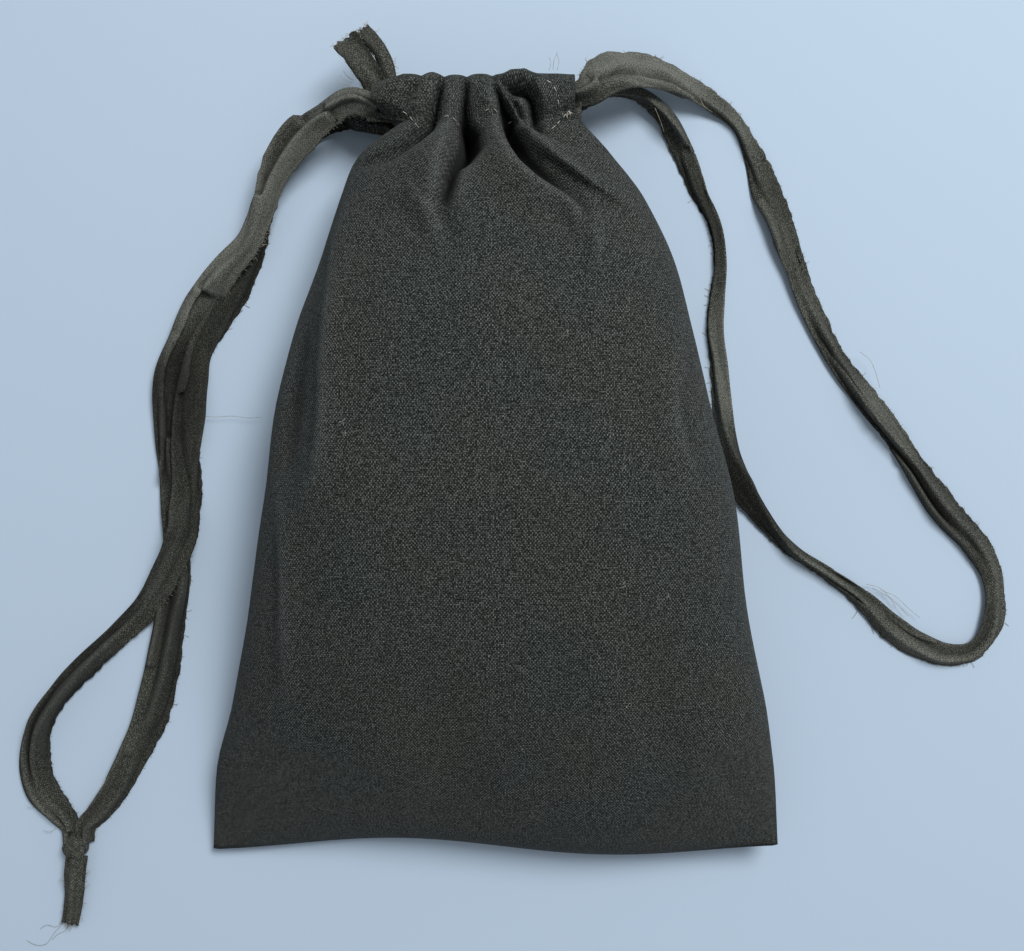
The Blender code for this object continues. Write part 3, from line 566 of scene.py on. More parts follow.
def strip_section(width, thick, s, seed):
    """Points across a crumpled strip folded in two lengthwise, as (sideways, up): facets between
    sharp creases that wander as the strip goes on, then round the fold and back below. s is the
    way along it in metres."""
    creases = []
    for k, (place, height) in enumerate(CREASES):
        if 0 < k < len(CREASES) - 1:
            place += 0.17 * kinks(s, 0.027, seed + 3.1 * k)
        creases.append((place, max(0.0, height + 0.30 * kinks(s, 0.020, seed + 1.7 * k))))
    places, heights = zip(*sorted(creases, key=lambda crease: crease[0]))
    gap = -0.05 + 0.26 * kinks(s, 0.033, seed + 11.4)
    gap_open = min(1.0, max(0.0, 0.5 + 0.8 * kinks(s, 0.024, seed + 12.9)))
    left = width * (1 + 0.06 * kinks(s, 0.012, seed + 2.2) + 0.05 * smooth_noise(s * 160, seed))
    right = width * (1 + 0.06 * kinks(s, 0.014, seed + 6.6) + 0.04 * smooth_noise(s * 140, seed, 3))
    points = []
    for k in range(TOP_POINTS):
        a = 0.5 - k / (TOP_POINTS - 1)
        lift = float(np.interp(a, places, heights)) - 0.5
        lift -= GAP_DEPTH * gap_open * math.exp(-(((a - gap) / GAP_WIDTH) ** 2))
        lift = max(-0.36, lift + 0.08 * smooth_noise(s * 150, a * 6, seed))
        points.append((a * (left if a > 0 else right), thick * lift))
    torn = TORN * smooth_noise(s * 700, seed, 3.3)
    points[0] = (points[0][0] + torn + 0.4 * MM, points[0][1])
    for k in range(1, BOTTOM_POINTS + 1):
        a = -0.5 + LOWER_LAYER * k / BOTTOM_POINTS
        sink = -0.5 * (1 - (2 * a) ** 6)
        points.append((a * (left if a > 0 else right), thick * sink))
    points[-1] = (points[-1][0] - TORN * smooth_noise(s * 640, seed, 8.3), points[-1][1])
    return points


def strip_frames(points, upright=False):
    """For each point of a strip's route: the way along it, sideways to its left, and up."""
    frames = []
    for k in range(len(points)):
        along = (points[min(len(points) - 1, k + 1)] - points[max(0, k - 1)]).normalized()
        left = Vector((0, 1, 0)) - along * along.y if upright else Vector((0, 0, 1)).cross(along)
        left.normalize()
        frames.append((along, left, along.cross(left)))
    return frames


def blurred(grid, rows, columns):
    """A grid of values, each the mean of those within some rows and columns of it."""
    padded = np.pad(grid, ((rows, rows), (columns, columns)), mode="edge")
    made = np.zeros_like(grid)
    for i in range(2 * rows + 1):
        for j in range(2 * columns + 1):
            made += padded[i : i + grid.shape[0], j : j + grid.shape[1]]
    return made / ((2 * rows + 1) * (2 * columns + 1))


def strip_piece(name, rows, grain, tones, replaced):
    """A strip from its rows of points, with painted highlight where it stands out and on its lit
    halves, and painted shade where it is folded in and on its shaded halves."""
    heights = np.array([[point.z for point in row] for row in rows])
    # Painted highlight where the strip stands above its neighbours and on its lit halves, painted
    # shade where it is folded in and on its shaded halves
    out = 0.5 * ((heights - blurred(heights, 2, 2)) / (0.6 * MM)).ravel()
    tones = np.array(tones)
    pale_and_highlight = np.clip(np.clip(out, 0, 0.5) + np.clip(tones, 0, 1), 0, 1)
    deep = np.clip(np.clip(-out, 0, 0.5) + np.clip(-tones, 0, 1) * 0.7, 0, 0.8)
    faces = grid_faces(len(rows), len(rows[0]))
    points = [point for row in rows for point in row]
    corners = [grain[v] for face in faces for v in face]
    return make_piece(name, points, faces, OLIVE, replaced, corners, (pale_and_highlight, deep),
                      STRIP_CLOTH)


def torn_strip(name, route, folds, thick, seed, replaced, upright=False, step=0.9 * MM):
    """A torn strip of cloth folded lengthwise along a route. It returns the piece, its path, and
    the points of its two torn edges, each with its ways out and along and its distance from
    the start."""
    path = smooth_route(route, step)
    lengths = distances(path)
    drop = 0.0 if upright else (CORD_FREE - thick) / 2
    rows, grain, edges, tones = [], [], [], []
    for point, (along, left, up), s in zip(path, strip_frames(path, upright), lengths):
        share = s / lengths[-1]
        width, shift, lean, left_light, right_light = fold_table(folds, share)
        lean += math.radians(15) * kinks(s, 0.030, seed + 4.4)
        sink = Vector((0, 0, drop * min(1.0, share / 0.03, (1 - share) / 0.03)))
        split = 0.12 * width * kinks(s, 0.025, seed + 8.8)
        row = []
        for a, b in strip_section(width, thick, s, seed):
            half = min(1.0, max(0.0, 0.5 + (a - split) / (0.3 * width)))
            # painted light and shade, blended from the right half to the left one
            tones.append(right_light + (left_light - right_light) * half)
            a, b = a * math.cos(lean) - b * math.sin(lean), a * math.sin(lean) + b * math.cos(lean)
            placed = point + left * (a + shift) + up * b - sink
            placed.z = max(LEAST_HEIGHT, placed.z)
            row.append(placed)
        rows.append(row)
        grain += [(u, s) for u in distances(row)]
        edges.append((row[0], (row[0] - row[2]).normalized(), along, s))
        edges.append((row[-1], (row[-1] - row[-3]).normalized(), along, s))
    return strip_piece(name, rows, grain, tones, replaced), path, edges


def tail_strip(name, route, widths, bend, seed, replaced, edge_shade):
    """A flat tail of torn strip with a few creases and a ragged end, and the painted shade along
    its left and right edges. It returns the tail and its edges for the frays."""
    path = smooth_route(route, 0.8 * MM)
    draw = random.Random(seed)
    columns = 12
    rows, grain, edges, tones = [], [], [], []
    lengths = distances(path)
    for point, (along, left, up), s in zip(path, strip_frames(path), lengths):
        share = s / lengths[-1]
        width = widths[0] + (widths[1] - widths[0]) * share
        width *= 1 + 0.08 * smooth_noise(share * 6, seed)
        ragged = max(0.0, share - 0.9) / 0.1
        row = []
        for i in range(columns + 1):
            a = 0.5 - i / columns
            lift = bend * (1 - 4 * a * a) * math.sin(math.pi * min(1, share * 1.1))
            lift += 0.55 * MM * smooth_noise(a * 4.5, share * 2.0, seed)
            slip = along * ragged * 1.2 * MM * smooth_noise(a * 14, seed, 3.0)
            placed = point + left * a * width + up * lift + slip
            placed.z = max(LEAST_HEIGHT, placed.z)
            row.append(placed)
            # painted shade that grows towards each edge
            near_edge = min(1.0, max(0.0, (abs(a) - 0.06) / 0.3))
            tones.append(edge_shade[0 if a > 0 else 1] * near_edge)
        rows.append(row)
        grain += [(i / columns * width, s) for i in range(columns + 1)]
        edges.append((row[0], left, along, s))
        edges.append((row[-1], -left, along, s))
    edges.extend((end, along, left * draw.uniform(-1, 1), 1.0) for end in row)
    return strip_piece(name, rows, grain, tones, replaced), edges


def wound_knot(name, centre, size, seed, replaced):
    """An overhand knot pulled tight: one flattened strip that winds through itself."""
    steps, sides = 72, 12
    extent = Vector(size) / 2
    radius = min(extent) * 0.62
    path = []
    for k in range(steps):
        t = 2 * math.pi * k / steps
        x = (math.sin(t) + 2 * math.sin(2 * t)) / 3 * (extent.x - radius)
        y = (math.cos(t) - 2 * math.cos(2 * t)) / 3 * (extent.y - radius)
        path.append(Vector((x, y, -math.sin(3 * t) * (extent.z - radius))))
    points, faces, grain = [], [], []
    for k, point in enumerate(path):
        along = (path[(k + 1) % steps] - path[k - 1]).normalized()
        side = along.cross(Vector((0, 0, 1))).normalized()
        up = side.cross(along)
        for i in range(sides):
            angle = 2 * math.pi * i / sides
            crease = 0.16 * math.sin(3 * angle + seed) + 0.12 * smooth_noise(k * 0.5, i * 0.9, seed)
            reach = side * math.cos(angle) * 1.15 + up * math.sin(angle) * 0.85
            placed = Vector(centre) + point + reach * radius * (1 + crease)
            placed.z = max(0.2 * MM, placed.z)
            points.append(placed)
            corners = ((i, k), (i, k + 1), (i + 1, k + 1), (i + 1, k))
            faces.append([(b % steps) * sides + a % sides for a, b in corners])
            grain += [(a * radius * 0.6, b * 0.6 * MM) for a, b in corners]
    still = [0.0] * len(points)
    return make_piece(name, points, faces, OLIVE, replaced, grain, (still, still))


def strand(name, start, offsets, folds, thick, seed, replaced, stretches, fray_seed, end=()):
    """A free strand from its casing's end over the table: the strip, its path and its frays."""
    route = [start, *((start[0] + x, Y_BORE + y, z) for x, y, z in offsets), *end]
    strip, path, edges = torn_strip(name, route, folds, thick, seed, replaced)
    return strip, path, frays(name + "_frays", edges, stretches, fray_seed)


def in_casings(side, y, seeds, replaced):
    """The runs of a strip inside the front casing and the back one."""
    for casing, front, seed in (("front", 1, seeds[0]), ("back", -1, seeds[1])):
        z = NECK_MID + front * (BORE_OFFSET - STRIP_SINK[front])
        route = [(x, y, z) for x in (CASING_LEFT - 2 * MM, CASING_SHIFT, CASING_RIGHT + 2 * MM)]
        torn_strip(f"{side}_strip_in_{casing}_casing", route, HIDDEN_FOLDS, 1.3 * MM, seed,
                   replaced, upright=True, step=3 * MM)


def turn_between_casings():
    """The left strip's turn at the casings' right end, from the front casing to the back one."""
    angles = [math.pi * (0.5 - step / 8) for step in range(9)]
    x = CASING_RIGHT - 5 * MM
    turn = [
        (x + BORE_OFFSET * math.cos(a), LEFT_STRIP_Y, NECK_MID + BORE_OFFSET * math.sin(a))
        for a in angles
    ]
    torn_strip("left_strip_turn", turn, HIDDEN_FOLDS, 1.4 * MM, 5.2, "drawstring_left",
               upright=True)


set_camera()
LEFT_FRONT_EXIT = (CASING_LEFT, LEFT_STRIP_Y, IN_FRONT)
LEFT_BACK_EXIT = (CASING_LEFT, LEFT_STRIP_Y, BEHIND)
RIGHT_EXIT = (CASING_RIGHT, RIGHT_STRIP_Y, IN_FRONT)
RIGHT_RETURN = (CASING_RIGHT, RIGHT_STRIP_Y, BEHIND)
front_strand, front_path, front_frays = strand(
    "left_strand_front", LEFT_FRONT_EXIT, LEFT_FRONT_STRAND, LEFT_FRONT_FOLDS, 5.0 * MM, 3.7,
    "drawstring_left",
    ((0.01, 0.04, 14, 0.0022), (0.045, 0.08, 90, 0.0022), (0.08, 0.21, 30, 0.0024)), 11,
)
back_strand, back_path, back_frays = strand(
    "left_strand_back", LEFT_BACK_EXIT, LEFT_BACK_STRAND, LEFT_BACK_FOLDS, 5.0 * MM, 8.9,
    "drawstring_left", ((0.03, 0.12, 26, 0.0022), (0.12, 0.22, 26, 0.0022)), 12,
)
right_loop, right_path, right_frays = strand(
    "right_loop", RIGHT_EXIT, RIGHT_LOOP, RIGHT_LOOP_FOLDS, 4.8 * MM, 6.3, "drawstring_right",
    ((0.002, 0.02, 16, 0.0026), (0.02, 0.055, 60, 0.0026), (0.07, 0.2, 40, 0.0022),
     (0.2, 0.27, 24, 0.0036), (0.3, 0.42, 60, 0.0022)), 13, end=[RIGHT_RETURN],
)
turn_between_casings()
in_casings("left", LEFT_STRIP_Y, (1.1, 2.1), "drawstring_left")
in_casings("right", RIGHT_STRIP_Y, (3.1, 4.1), "drawstring_right")


# Pouch cloth

CLOTH = 0.45 * MM
COLUMNS = 180
BODY_LENGTH = POUCH_LENGTH - CASING_HEIGHT
# Where the valleys between the back casing's gathers lie along X, in mm, and how deep each is
BACK_VALLEYS = (
    (-30, 0), (-21, 2.6), (-12.5, 3), (-4, 3), (5, 3), (13, 2.6), (21, 0),
)
# How far the back casing's left end is pulled out to the left, and up
FLAP_REACH = 10.0 * MM
FLAP_RISE = 1.2 * MM
# The section of a casing from its seam up the outside, over the top and down the inside, as
# (share of its height, distance out from the slit's middle plane in mm)
CASING_SECTION = (
    (0, 10.6), (0.12, 10.9), (0.32, 11.5), (0.58, 11.9), (0.86, 11.6), (1.06, 10.3), (1.16, 7.9),
    (1.06, 5.6), (0.8, 4), (0.5, 3.3), (0.25, 4.2), (0.08, 6.8), (0, 8.7),
)
CASING_ROWS = 32
# The row of a casing that lies along its top fold
TOP_ROW = 12
# How far the seam stands up, the neck's left end is tucked in, and the casings' left ends close
SEAM_LIFT = 1.3 * MM
NECK_TUCK = 4.5 * MM
END_SQUEEZE = 0.42
LEFT_END_Y = 0.0948
# Length of cloth round a casing, and how much more cloth a gathered row holds than it shows
CASING_CLOTH = 26 * MM
GATHER = 1.25
# Stretches of the body, as a start and an end down it and the distance between rows in mm
ROW_STEPS = ((0, 0.16, 0.65), (0.16, 0.27, 1.2), (0.27, 0.92, 4.0), (0.92, 1, 1.6))

# Folds of the front and its casing, as lines over the photo's frame: pixel across, pixel down,
# height of the cloth there in mm, how far the fold stands up (or sinks, where negative) in mm,
# and how wide it is to the line's left and right in mm, as one looks down the picture. Tight
# folds are pinched valleys between full pleats; the others are soft.
TIGHT_FOLDS = {
    "beside_plain_end": (
        (422, 70, 22, -0.4, 0.8, 0.8), (419, 79, 24, -1.2, 0.8, 0.8), (413, 89, 25, -2.2, 0.9, 0.8),
        (406, 98, 25, -1.2, 1.2, 1), (398, 106, 25, 0, 1.4, 1.2),
    ),
    "left_shoulder_crease": (
        (445, 70, 22, -0.4, 0.7, 0.7), (442, 78, 24, -1.2, 0.7, 0.7), (440, 85, 25, -4.2, 0.7, 0.7),
        (437, 98, 25.5, -5.4, 0.8, 0.7), (434, 112, 26, -6, 1, 0.7), (430, 126, 26, -6.1, 1.4, 1),
        (418, 138, 27, -5.4, 1.8, 1), (404, 148, 28, -4.4, 2, 1), (389, 157, 29, -3.3, 2.2, 1.1),
        (373, 163, 28, -2, 2.4, 1.3), (358, 164, 27, -0.8, 2.4, 1.6), (346, 163, 26, 0, 2.4, 2),
    ),
    "deep_left_hollow": (
        (467, 70, 22, -0.4, 0.7, 0.7), (466, 78, 24, -1.2, 0.7, 0.7),
        (466, 85, 24.5, -4.2, 0.7, 0.7), (464, 102, 25.5, -5.4, 0.7, 0.8),
        (463, 114, 26, -7.2, 0.7, 1), (463, 122, 26.5, -11.4, 0.9, 1.7),
        (465, 132, 28, -16.2, 1.1, 2.8), (465, 144, 29, -17.4, 1.2, 3.1),
        (460, 154, 30, -15.6, 1, 2.8), (453, 165, 31, -12, 0.8, 1.6),
        (449, 178, 33, -9.6, 0.8, 1.3), (446, 191, 34, -7.2, 0.9, 1.4),
        (443, 203, 36, -4.8, 1, 1.8), (443, 213, 37, -2.6, 1.3, 2.4), (448, 230, 39, -1.4, 1.8, 3),
        (456, 248, 41, -0.7, 2.4, 3.6), (468, 268, 42, 0, 3, 4),
    ),
    "deep_right_hollow": (
        (491, 70, 22, -0.4, 0.7, 0.7), (494, 79, 24, -1, 0.7, 0.7), (497, 87, 24.5, -3.4, 0.7, 0.7),
        (501, 100, 25, -5.4, 0.7, 0.9), (504, 109, 26, -9.6, 0.8, 1.8),
        (506, 118, 26.5, -11.4, 0.8, 2), (509, 130, 27.5, -10.8, 0.8, 2.2),
        (516, 144, 29, -9.6, 0.8, 2.3), (525, 158, 31, -7.6, 0.8, 2.5),
        (540, 172, 32.5, -5.6, 0.8, 2.6), (557, 184, 34, -4, 0.9, 2.8), (574, 195, 36, -2.8, 1, 3),
        (586, 208, 37.5, -1.6, 1.4, 3), (596, 228, 39, 0, 2, 3),
    ),
    "under_curled_end": (
        (500, 82, 23, -1.1, 0.8, 0.8), (507, 86, 24, -3.5, 0.9, 0.9),
        (515, 89, 24.5, -5.3, 1.2, 1.2), (525, 91, 24.5, -4.9, 1.2, 1),
        (532, 98, 25, -5.1, 1.3, 0.8), (535, 110, 25.5, -5.1, 1.2, 0.7),
        (536, 122, 26, -4.1, 1.2, 0.7), (541, 132, 27, -2.2, 1, 0.9), (552, 139, 27, -1.6, 1.2, 1),
        (570, 144, 27, -1.4, 1.4, 1.2), (592, 149, 27, -0.7, 1.6, 1.4), (610, 154, 27, 0, 1.6, 1.6),
    ),
    "beside_thin_pleat": (
        (507, 92, 24.5, -1.1, 0.6, 0.7), (514, 104, 25, -3.1, 0.6, 0.8),
        (520, 114, 25.5, -3.4, 0.6, 0.8), (527, 122, 26, -2, 0.6, 0.8), (533, 130, 27, 0, 0.8, 0.8),
    ),
}
SOFT_FOLDS = {
    "first_pleat": (
        (432, 76, 24, 0.5, 2.6, 2), (425, 96, 25, 1.4, 3.2, 2.2), (416, 114, 26, 2, 3.8, 2.6),
        (404, 132, 27, 2.5, 3.6, 2.6), (388, 145, 27, 2.2, 3, 2.6), (370, 152, 26, 1.4, 2.4, 2.4),
        (354, 156, 25, 0, 2.4, 2.4),
    ),
    "big_left_fold": (
        (453, 96, 25, 0.3, 2, 1.4), (450, 110, 25.5, 1.1, 2.6, 1.5), (447, 126, 27, 2.7, 3.6, 1.6),
        (444, 142, 29, 4.3, 5, 1.8), (441, 158, 31, 5.1, 6, 1.8), (439, 174, 33, 4.9, 6.5, 1.6),
        (438, 190, 34.5, 3.8, 6.5, 1.4), (439, 203, 36, 2, 6, 1.6), (446, 218, 38, 0.5, 5, 2),
        (452, 232, 39, 0, 4, 2),
    ),
    "big_left_swell": (
        (446, 126, 26, 0, 3.6, 3.6), (434, 140, 28, 1.2, 4.2, 4.2), (418, 156, 30, 1.9, 4.6, 4.6),
        (402, 172, 32, 1.6, 5, 5), (390, 192, 34, 0.8, 5.5, 5.5), (382, 214, 37, 0, 6, 6),
    ),
    "diagonal_from_left_fold": (
        (398, 182, 33, 0, 2.4, 2), (412, 194, 35, 1, 2.6, 1.8), (424, 207, 36, 1.7, 2.8, 1.6),
        (435, 221, 38, 1.8, 2.8, 1.6), (446, 236, 39.5, 1.4, 3, 1.8), (460, 256, 41, 0, 3, 2.4),
    ),
    "middle_fold": (
        (484, 84, 24, 0.4, 2.5, 1.4), (493, 100, 25, 1.2, 2.5, 1.2), (498, 116, 26, 2, 3, 1),
        (501, 130, 27.5, 2.9, 4, 1), (507, 146, 29.5, 3.8, 5, 1), (517, 163, 31.5, 4.2, 6, 1),
        (535, 180, 34, 3.6, 6, 1.1), (555, 192, 36, 2.9, 6, 1.3), (571, 201, 37.5, 2, 5.5, 1.5),
        (582, 214, 39, 1.3, 5, 1.8), (588, 232, 40.5, 0.6, 5, 2.2), (591, 252, 42, 0, 5, 3),
    ),
    "thin_pleat": (
        (497, 84, 24, 0, 0.9, 0.9), (506, 97, 25, 1.1, 0.8, 0.8), (514, 108, 25.5, 1.4, 0.8, 0.7),
        (522, 118, 26, 1.2, 0.8, 0.8), (531, 127, 26.5, 0, 1, 1),
    ),
    "curled_end": (
        (500, 79, 22, 0, 0.9, 1), (510, 78, 22.5, 1.6, 1.2, 1.4), (524, 78, 23, 2.2, 1.4, 1.6),
        (536, 84, 24, 2.2, 1.4, 2), (543, 94, 25, 2, 1.3, 3), (546, 108, 25.5, 1.6, 1.4, 3.4),
        (547, 122, 26, 0.8, 1.4, 3), (552, 132, 26.5, 0, 1.6, 2.4),
    ),
    "upper_right_fold": (
        (510, 120, 26, 0, 1.8, 0.8), (520, 124, 26.5, 2, 2.2, 0.8), (533, 130, 27, 2.9, 2.6, 0.8),
        (550, 140, 28, 3.1, 2.8, 0.9), (570, 147, 29, 2.5, 3, 1), (590, 152, 29.5, 2, 3.2, 1.2),
        (612, 160, 29.5, 1, 3.2, 1.6), (632, 172, 28, 0, 3, 2),
    ),
    "lower_right_fold": (
        (530, 136, 28.5, 0, 1.2, 2), (545, 148, 30, 2.5, 1.2, 2.4), (566, 163, 32, 3.4, 1.2, 2.8),
        (587, 178, 33.5, 3.1, 1.2, 3.2), (608, 190, 34.5, 2.4, 1.4, 3.4),
        (630, 204, 34.5, 1.5, 1.6, 3.4), (652, 222, 34, 0, 2, 3.4),
    ),
    "right_upright_ridge": (
        (592, 200, 37, 0, 1.4, 2.6), (596, 216, 38.5, 1.2, 1.4, 3), (598, 240, 40, 1.5, 1.5, 3.4),
        (597, 262, 41.5, 0.9, 1.8, 3.6), (593, 286, 43, 0, 2.4, 4),
    ),
    "middle_hollow": (
        (548, 204, 37, 0, 3, 3), (562, 216, 38, -1.5, 3.2, 2.6), (573, 228, 39.5, -1.4, 3, 2.4),
        (577, 244, 41, 0, 3, 3),
    ),
    "left_ridge": (
        (345, 186, 31, 0, 1.4, 4), (340, 208, 34, 1, 1.3, 4.4), (328, 244, 38, 1.8, 1.3, 5),
        (326, 282, 41, 2.3, 1.3, 5.4), (323, 316, 42, 2.5, 1.3, 5.8), (320, 360, 44, 2.6, 1.3, 6),
        (320, 400, 45, 2.6, 1.3, 6), (317, 440, 45, 2.3, 1.4, 6), (313, 472, 45, 1.7, 1.6, 6),
        (302, 500, 44, 0.9, 2, 5), (288, 524, 43, 0, 2.4, 5),
    ),
    "left_side_panel": (
        (326, 236, 30, 0, 3, 2.4), (312, 290, 33, -2.3, 4, 2.6), (304, 350, 35, -3.5, 4.6, 3),
        (298, 410, 36, -3.7, 5, 3.4), (292, 462, 36, -2.8, 5, 3.6), (282, 510, 35, -0.9, 5, 4),
        (276, 540, 35, 0, 5, 4),
    ),
    "lower_left_ridge": (
        (268, 470, 37, 0, 1.6, 4), (276, 510, 39, 1.4, 1.3, 4.4), (281, 555, 39, 1.8, 1.2, 4.6),
        (281, 600, 39, 2, 1.2, 4.6), (281, 645, 37, 1.6, 1.4, 4.6), (284, 690, 34, 0.7, 1.8, 4.4),
        (290, 730, 31, 0, 2.4, 4.4),
    ),
    "right_ridge": (
        (690, 310, 40, 0, 4, 1.6), (689, 340, 42, 1.6, 4.5, 1.3), (684, 372, 44, 1.9, 5, 1.3),
        (677, 404, 45, 1.9, 5, 1.4), (684, 443, 45, 1.7, 5, 1.5), (701, 488, 44, 0.7, 5, 2),
        (712, 520, 43, 0, 5, 2.4),
    ),
    "lower_right_valley": (
        (640, 600, 44, 0, 8, 8), (660, 680, 38, -1.2, 8, 8), (676, 760, 28, -1.3, 8, 7),
        (688, 830, 14, 0, 6, 6),
    ),
    "right_corner_crease": (
        (716, 762, 28, 0, 3, 4), (734, 786, 24, -1.1, 2, 4), (752, 802, 20, -1.2, 2, 4),
        (770, 818, 14, 0, 2, 3),
    ),
    "bottom_edge_crease": (
        (414, 808, 20, 0, 3, 3), (440, 812, 19, -1, 2.4, 2.4), (468, 814, 18, -0.8, 2.4, 2.4),
        (496, 822, 15, 0, 3, 3),
    ),
    "lower_middle_valley": (
        (430, 640, 44, 0, 9, 9), (452, 720, 36, -1, 9, 9), (478, 790, 24, -1.2, 8, 8),
        (520, 836, 12, 0, 6, 6),
    ),
}
# How deep the folds may sink over the strips in the casing, and how fast they deepen below it
STRIP_ROOM = 5.4 * MM
DEEPENING = 2.6
# How far the cloth rounds off beside a pinched fold
ROUNDING = 1.4 * MM


def fold_profile(distance, width, tight):
    """A fold's share of its full height at a distance from its line."""
    if not tight:
        return np.exp(-((distance / width) ** 2))
    pinch = np.exp(-((distance / width) ** 1.6))
    swell = np.exp(-((distance / (width * 0.6 + ROUNDING)) ** 2))
    return 0.62 * pinch + 0.38 * swell


def lift_of(line, tight, x, y):
    """How far one fold lifts the cloth at points x, y."""
    nearest = np.full_like(x, 1e9)
    amount = np.zeros_like(x)
    points = [(*seen(a, d, z * MM), h * MM, wl * MM, wr * MM) for a, d, z, h, wl, wr in line]
    for one, other in zip(points, points[1:]):
        dx, dy = other[0] - one[0], other[1] - one[1]
        share = ((x - one[0]) * dx + (y - one[1]) * dy) / (dx * dx + dy * dy)
        share = np.clip(share, 0, 1)
        off_x, off_y = x - one[0] - share * dx, y - one[1] - share * dy
        distance = np.hypot(off_x, off_y)
        height, left, right = (one[k] + (other[k] - one[k]) * share for k in (2, 3, 4))
        width = np.where(dx * off_y - dy * off_x > 0, right, left)
        here = height * fold_profile(distance, width, tight)
        amount = np.where(distance < nearest, here, amount)
        nearest = np.minimum(nearest, distance)
    return amount


def fold_lift(x, y):
    """How far all the front's folds lift the cloth at points x, y."""
    raised = sum(lift_of(line, False, x, y) for line in SOFT_FOLDS.values())
    pinched = np.zeros_like(x)
    for line in TIGHT_FOLDS.values():
        pinched = np.minimum(pinched, lift_of(line, True, x, y))
    return raised + pinched


def soft_grid(x, y, scale, seed):
    """Soft noise over arrays of points."""
    flat = [smooth_noise(a * scale, b * scale, seed) for a, b in zip(x.ravel(), y.ravel())]
    return np.array(flat).reshape(x.shape)


def crown(across, fullness):
    """Height of a full section, 1 in the middle and 0 at both side seams."""
    return np.maximum(0.0, 1 - np.abs(across) ** fullness) ** (1 / fullness)


def back_gathers(across):
    """How far the back casing's gathers draw the cloth in, in metres."""
    drawn = np.zeros_like(across)
    for (start, depth_before), (end, depth_after) in zip(BACK_VALLEYS, BACK_VALLEYS[1:]):
        start, end = ((x * MM - CASING_SHIFT) / (CASING_WIDTH / 2) for x in (start, end))
        q = (across - start) / (end - start)
        depth = np.where(q < 0.5, depth_before, depth_after) * MM
        inside = (across >= start) & (across <= end)
        drawn = np.where(inside, depth * (1 - crown(2 * q - 1, 2.3)), drawn)
    return drawn


def body_rows():
    """Shares of the way down the body, closer together where the folds are fine."""
    rows = []
    for start, end, step in ROW_STEPS:
        count = max(1, round((end - start) * BODY_LENGTH / (step * MM)))
        rows += [start + (end - start) * k / count for k in range(count)]
    return [*rows, 1.0]


def fold_wave(x, down):
    """How far the bottom edge is drawn up from its lowest point, fading up the body."""
    turn = 2 * math.pi * (x - FOLD_WAVE_LOW) / FOLD_WAVE_LENGTH
    return FOLD_WAVE * (1 - np.cos(turn)) * max(0.0, 2 * down - 1) ** 3


def body_sheets(across):
    """Front and back of the body as two grids of points, rows by columns, their places on the
    weave, and how far the folds lift the two rows at the seam."""
    front, back = [], []
    neck_top = NECK_MID + NECK_RISE
    fold_top = FOLD_HEIGHT + WALL
    drawn_back = back_gathers(across)
    edge = np.minimum(1, (1 - np.abs(across)) / 0.03)
    for down in body_rows():
        spread = value_at(SIDE_LINE, down)
        half = SHOULDER_WIDTH / 2 + (POUCH_WIDTH - SHOULDER_WIDTH) / 2 * spread
        sink = value_at(SINK_LINE, down)
        side = NECK_MID + (FOLD_HEIGHT - NECK_MID) * sink + FOLD_TILT * sink * across
        if down < 0.5:
            top = neck_top + (BODY_DEPTH - neck_top) * value_at(RISE_FROM_NECK, down)
        else:
            top = fold_top + (BODY_DEPTH - fold_top) * value_at(RISE_FROM_FOLD, down)
        rise = top - NECK_MID - (FOLD_HEIGHT - NECK_MID) * sink
        sag = WALL + (side * SAG - WALL) * value_at(SAG_LINE, down)
        clear = (NECK_MID - NECK_RISE) * value_at(CLEAR_LINE, down)
        near_seam = max(0.0, 1 - down / 0.06) ** 2
        x = value_at(LEAN_LINE, down) * MM + half * across
        y = Y_SEAM - BODY_LENGTH * down + fold_wave(x, down)
        x = x + NECK_TUCK * near_seam * np.clip((-across - 0.3) / 0.7, 0, 1)
        high = side + rise * crown(across, value_at(FRONT_FULLNESS, down))
        high = high + SEAM_LIFT * near_seam * edge
        low = np.maximum(clear, side - sag * crown(across, value_at(BACK_FULLNESS, down)))
        low = low + drawn_back * value_at(PLEAT_FADE, down) * edge
        front.append(np.stack([x, y, high], axis=1))
        back.append(np.stack([x, y, np.maximum(low, 0.0)], axis=1))
    front, back = np.array(front), np.array(back)
    grains = arc_grid(front), arc_grid(back)
    x, y = front[..., 0], front[..., 1]
    keep = np.minimum(1, (1 - np.abs(across)) / 0.02)[None, :]
    rumple = 0.45 * MM * soft_grid(x, y, 38, 2.5) + 0.22 * MM * soft_grid(x, y, 95, 8.5)
    rumple += 0.10 * MM * soft_grid(x, y, 260, 5.5)
    lift = np.maximum(fold_lift(x, y), -STRIP_ROOM - DEEPENING * np.maximum(0.0, Y_SEAM - y))
    front[..., 2] += (lift + rumple) * keep
    front[..., 2] = np.maximum(front[..., 2], back[..., 2] + 2 * WALL * keep)
    front[-1, :, 2] = back[-1, :, 2] = (front[-1, :, 2] + back[-1, :, 2]) / 2
    back[:, 0], back[:, -1] = front[:, 0], front[:, -1]
    return front, back, grains, (lift[0] * keep[0], -drawn_back * edge)


